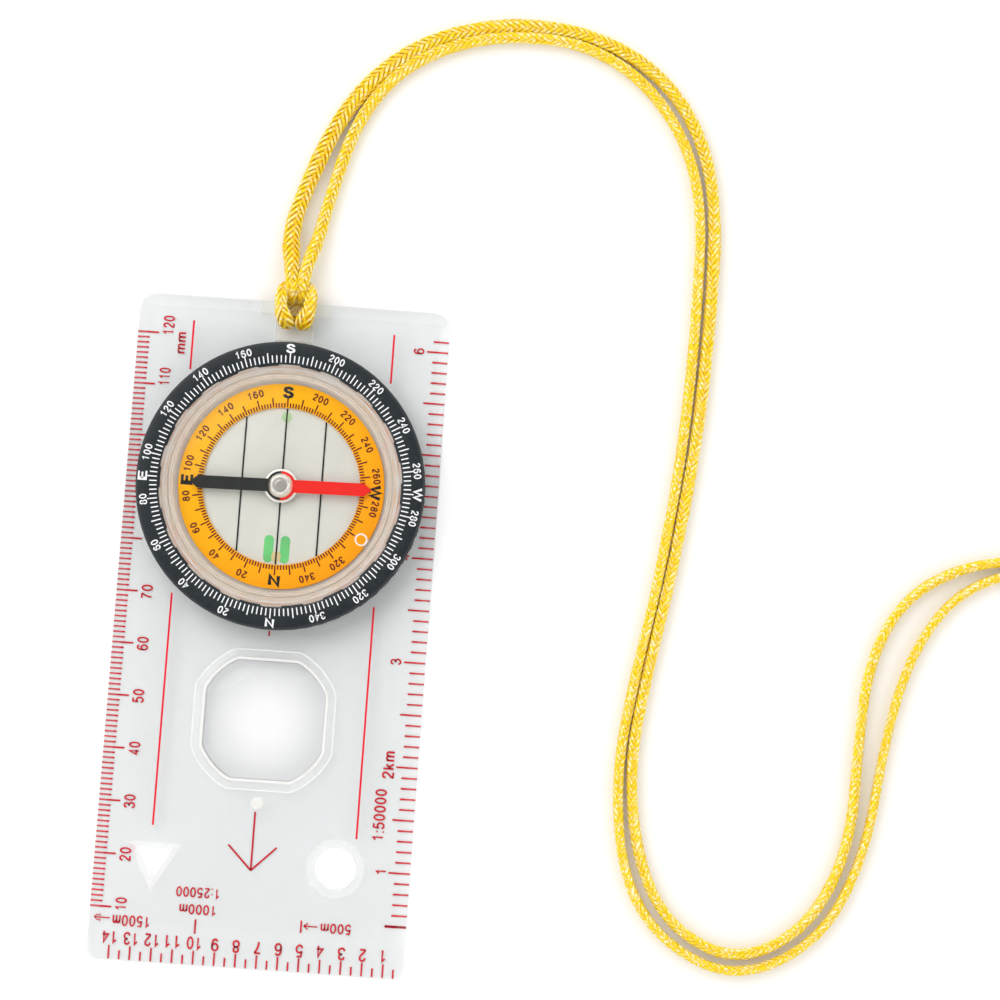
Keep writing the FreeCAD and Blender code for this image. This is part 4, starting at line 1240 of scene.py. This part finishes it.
def make_capsule_lens():
    """Thin domed lens: both faces are spheres over the same circle, and the outer one rises more.
    The filler plug stands in a round hole through it."""
    low_z = LENS_LOW[2] + 0.03
    flange_z = LENS_LOW[2] + 0.7
    outer_rise, inner_rise, dome_r = LENS_HIGH[2] - flange_z, 0.8, 20.0

    def dome(radius, base_z, rise):
        """Height of a sphere that rises from the circle of dome_r to its middle."""
        sphere_r = (dome_r ** 2 + rise ** 2) / (2 * rise)
        return base_z + rise - sphere_r + np.sqrt(sphere_r ** 2 - radius ** 2)

    outwards = np.linspace(0, dome_r, 40)
    inside = np.stack([outwards, dome(outwards, low_z, inner_rise)], 1)
    flange = soft_corners([(dome_r, low_z), (LENS_R, low_z), (LENS_R, flange_z),
                           (dome_r + 0.2, flange_z)], 0.2, closed=False)[1:]
    inwards = outwards[::-1]
    outside = np.stack([inwards, dome(inwards, flange_z, outer_rise)], 1)
    profile = np.concatenate([inside, flange, outside])
    lens = put_piece("capsule_lens_dome", lathe(profile, 360, closed=False), CLEAR_LENS, "housing",
                     ["capsule_lens", "damping_fluid"], sharp=40.0)
    cut_plug_hole(lens)


def make_filler_plug():
    """Small round button in the lens's hole, with a frosted white rim on its top, a painted highlight
    for the bright ring at the plug's edge.
    """
    low_z, high_z = PLUG_LOW[2] + 0.4, PLUG_HIGH[2] - 0.12
    profile = soft_corners(band(0, PLUG_R - 0.03, low_z, high_z), 0.06, closed=False)
    put_piece("filler_plug_button", lathe(profile, 64, closed=False, centre=PLUG_CENTRE), CLEAR_LENS,
              "housing", ["filler_plug"])
    # painted highlight: a white frosted ring stands for the bright ring at the plug's edge
    rim = soft_corners(band(PLUG_R - 0.33, PLUG_R - 0.05, high_z + 0.01, high_z + 0.12), 0.1)
    put_piece("filler_plug_highlight_rim", lathe(rim, 64, centre=PLUG_CENTRE), HIGHLIGHT_FROST, "housing")


make_azimuth_ring()
make_ring_print()
make_dial()
make_dial_print()
make_marks()
make_capsule()
make_capsule_lens()
make_filler_plug()
for node_name, finish in (("pivot_bush", BRASS), ("pivot_pin", STEEL), ("retaining_ring", NYLON),
                          ("friction_washer", WASHER)):
    paint_node(node_name, finish)


# --- Needle -------------------------------------------------------------------------------------
NEEDLE_LENGTH = 34.6
NEEDLE_WIDTH = 2.45
NEEDLE_TIP = 1.5
EYE_R = 2.78
NEEDLE_ANGLE = 1.1
NEEDLE_BEVEL = 0.07
EYE_OVERLAP = 1.38              # how far the blade reaches in under the cap's flange


def needle_half(turn):
    """Half of the blade. At the angle a from its own axis the outline is as far out as the eye's
    circle or the arm's edge, whichever is more, and the arm's edge is its half width over sin a,
    cut off by the two slopes of the tip. The edges are bevelled."""
    half_length, half_width = NEEDLE_LENGTH / 2, NEEDLE_WIDTH / 2
    shoulder = math.atan2(half_width, half_length - NEEDLE_TIP)
    neck = math.asin(half_width / EYE_R)
    quarter = np.concatenate([np.linspace(0, shoulder, 9), np.linspace(shoulder, neck, 24)[1:],
                              np.linspace(neck, np.pi / 2, 24)[1:]])
    angle = np.concatenate([-quarter[:0:-1], quarter])
    sine, cosine = np.abs(np.sin(angle)), np.cos(angle)
    edge = half_width / np.maximum(sine, 1e-6)
    slope = half_length / (cosine + sine * NEEDLE_TIP / half_width)
    outer = np.maximum(EYE_R, np.minimum(edge, slope))[:, None]
    low_z, high_z, bevel = BLADE_LOW[2], BLADE_HIGH[2], NEEDLE_BEVEL
    hole = CAP_R - EYE_OVERLAP
    share = np.array([0, 0, 1, 1, 1, 1])[None, :]
    shift = np.array([0, 0, -bevel, 0, 0, -bevel])[None, :]
    radius = hole * (1 - share) + outer * share + shift
    height = np.array([low_z, high_z, high_z, high_z - bevel, low_z + bevel, low_z])[None, :]
    direction = (angle + math.radians(NEEDLE_ANGLE + turn))[:, None]
    points = around(DIAL_CENTRE, radius, direction, height)
    return points.reshape(-1, 3), tube_faces(len(angle), 6)


def make_needle():
    """The two halves of the blade, the turned cap that holds its eye, and the jewel in the cap."""
    put_piece("needle_red_half", needle_half(0), RED_ENAMEL, "needle",
              ["needle_blade"], sharp=25.0)
    put_piece("needle_black_half", needle_half(180), BLACK_ENAMEL, "needle",
              sharp=25.0)
    flange_z, blade_z, top_z = CAP_LOW[2], BLADE_LOW[2], CAP_HIGH[2]
    over_z = BLADE_HIGH[2] + 0.02
    cap = [(JEWEL_R, flange_z), (CAP_R, flange_z), (CAP_R, flange_z + 0.08),
           (CAP_R - 0.2, blade_z), (1.8, blade_z), (1.8, over_z), (2.35, over_z),
           (2.3, over_z + 0.16), (1.85, top_z), (JEWEL_R, top_z)]
    put_piece("needle_cap_turned", lathe(soft_corners(cap, 0.07, steps=4), 120), CAP_METAL, "needle",
              ["needle_cap"], sharp=40.0)
    low_z, high_z = JEWEL_LOW[2], JEWEL_HIGH[2]
    jewel = [(0, low_z + 0.35), (0.48, low_z), (JEWEL_R, low_z), (JEWEL_R, high_z - 0.12),
             (JEWEL_R * 0.6, high_z - 0.02), (0, high_z)]
    put_piece("jewel_stone", lathe(soft_corners(jewel, 0.12, steps=3, closed=False), 96, closed=False),
              JEWEL, "needle", ["jewel_bearing"], sharp=40.0)


make_needle()


# --- Stage --------------------------------------------------------------------------------------
LAMP_PLACE = (-0.35, 0.38, 0.62)
LAMP_AIM = (0.03, 0.0, 0.0)
LAMP_SIZE = 0.7
LAMP_WATTS = 1.5
FLOOR_Z = -0.0001
FLOOR_HALF = 3.0
# Strength of the surround by the height of a direction: bright at the sides, dim overhead.
SURROUND = (("From Min", 0.74), ("From Max", 0.97), ("To Min", 1.38), ("To Max", 0.32))


def make_stage():
    """Plain white floor just under the plate, one soft lamp, and a surround that is bright at the
    sides and darker overhead, so that flat plastic keeps its depth."""
    corners = [(x * FLOOR_HALF, y * FLOOR_HALF, FLOOR_Z)
               for x, y in ((-1, -1), (1, -1), (1, 1), (-1, 1))]
    mesh = bpy.data.meshes.new("floor")
    mesh.from_pydata(corners, [], [(0, 1, 2, 3)])
    floor = bpy.data.objects.new("floor", mesh)
    bpy.context.scene.collection.objects.link(floor)
    material = new_material("floor_paper")
    shader = node(material, "BsdfPrincipled", {
        "Base Color": (0.93, 0.93, 0.93, 1.0), "Roughness": grain(material, 40.0, 0.75, 0.9),
        "Specular IOR Level": 0.1})
    finish_with(material, shader)
    mesh.materials.append(material)

    world = bpy.data.worlds.new("studio")
    bpy.context.scene.world = world
    world.use_nodes = True
    nodes, links = world.node_tree.nodes, world.node_tree.links
    direction = nodes.new("ShaderNodeTexCoord")
    height = nodes.new("ShaderNodeSeparateXYZ")
    strength = nodes.new("ShaderNodeMapRange")
    strength.interpolation_type = "SMOOTHSTEP"
    for name, value in SURROUND:
        strength.inputs[name].default_value = value
    links.new(direction.outputs["Generated"], height.inputs[0])
    links.new(height.outputs["Z"], strength.inputs["Value"])
    links.new(strength.outputs[0], nodes["Background"].inputs["Strength"])
    nodes["Background"].inputs["Color"].default_value = (1.0, 1.0, 1.0, 1.0)

    lamp = bpy.data.lights.new("key", "AREA")
    lamp.shape = "DISK"
    lamp.size = LAMP_SIZE
    lamp.energy = LAMP_WATTS
    key = bpy.data.objects.new("key", lamp)
    bpy.context.scene.collection.objects.link(key)
    key.location = LAMP_PLACE
    aim = Vector(LAMP_AIM) - key.location
    key.rotation_euler = aim.to_track_quat("-Z", "Y").to_euler()
    bpy.context.scene.view_settings.view_transform = "Standard"


make_stage()
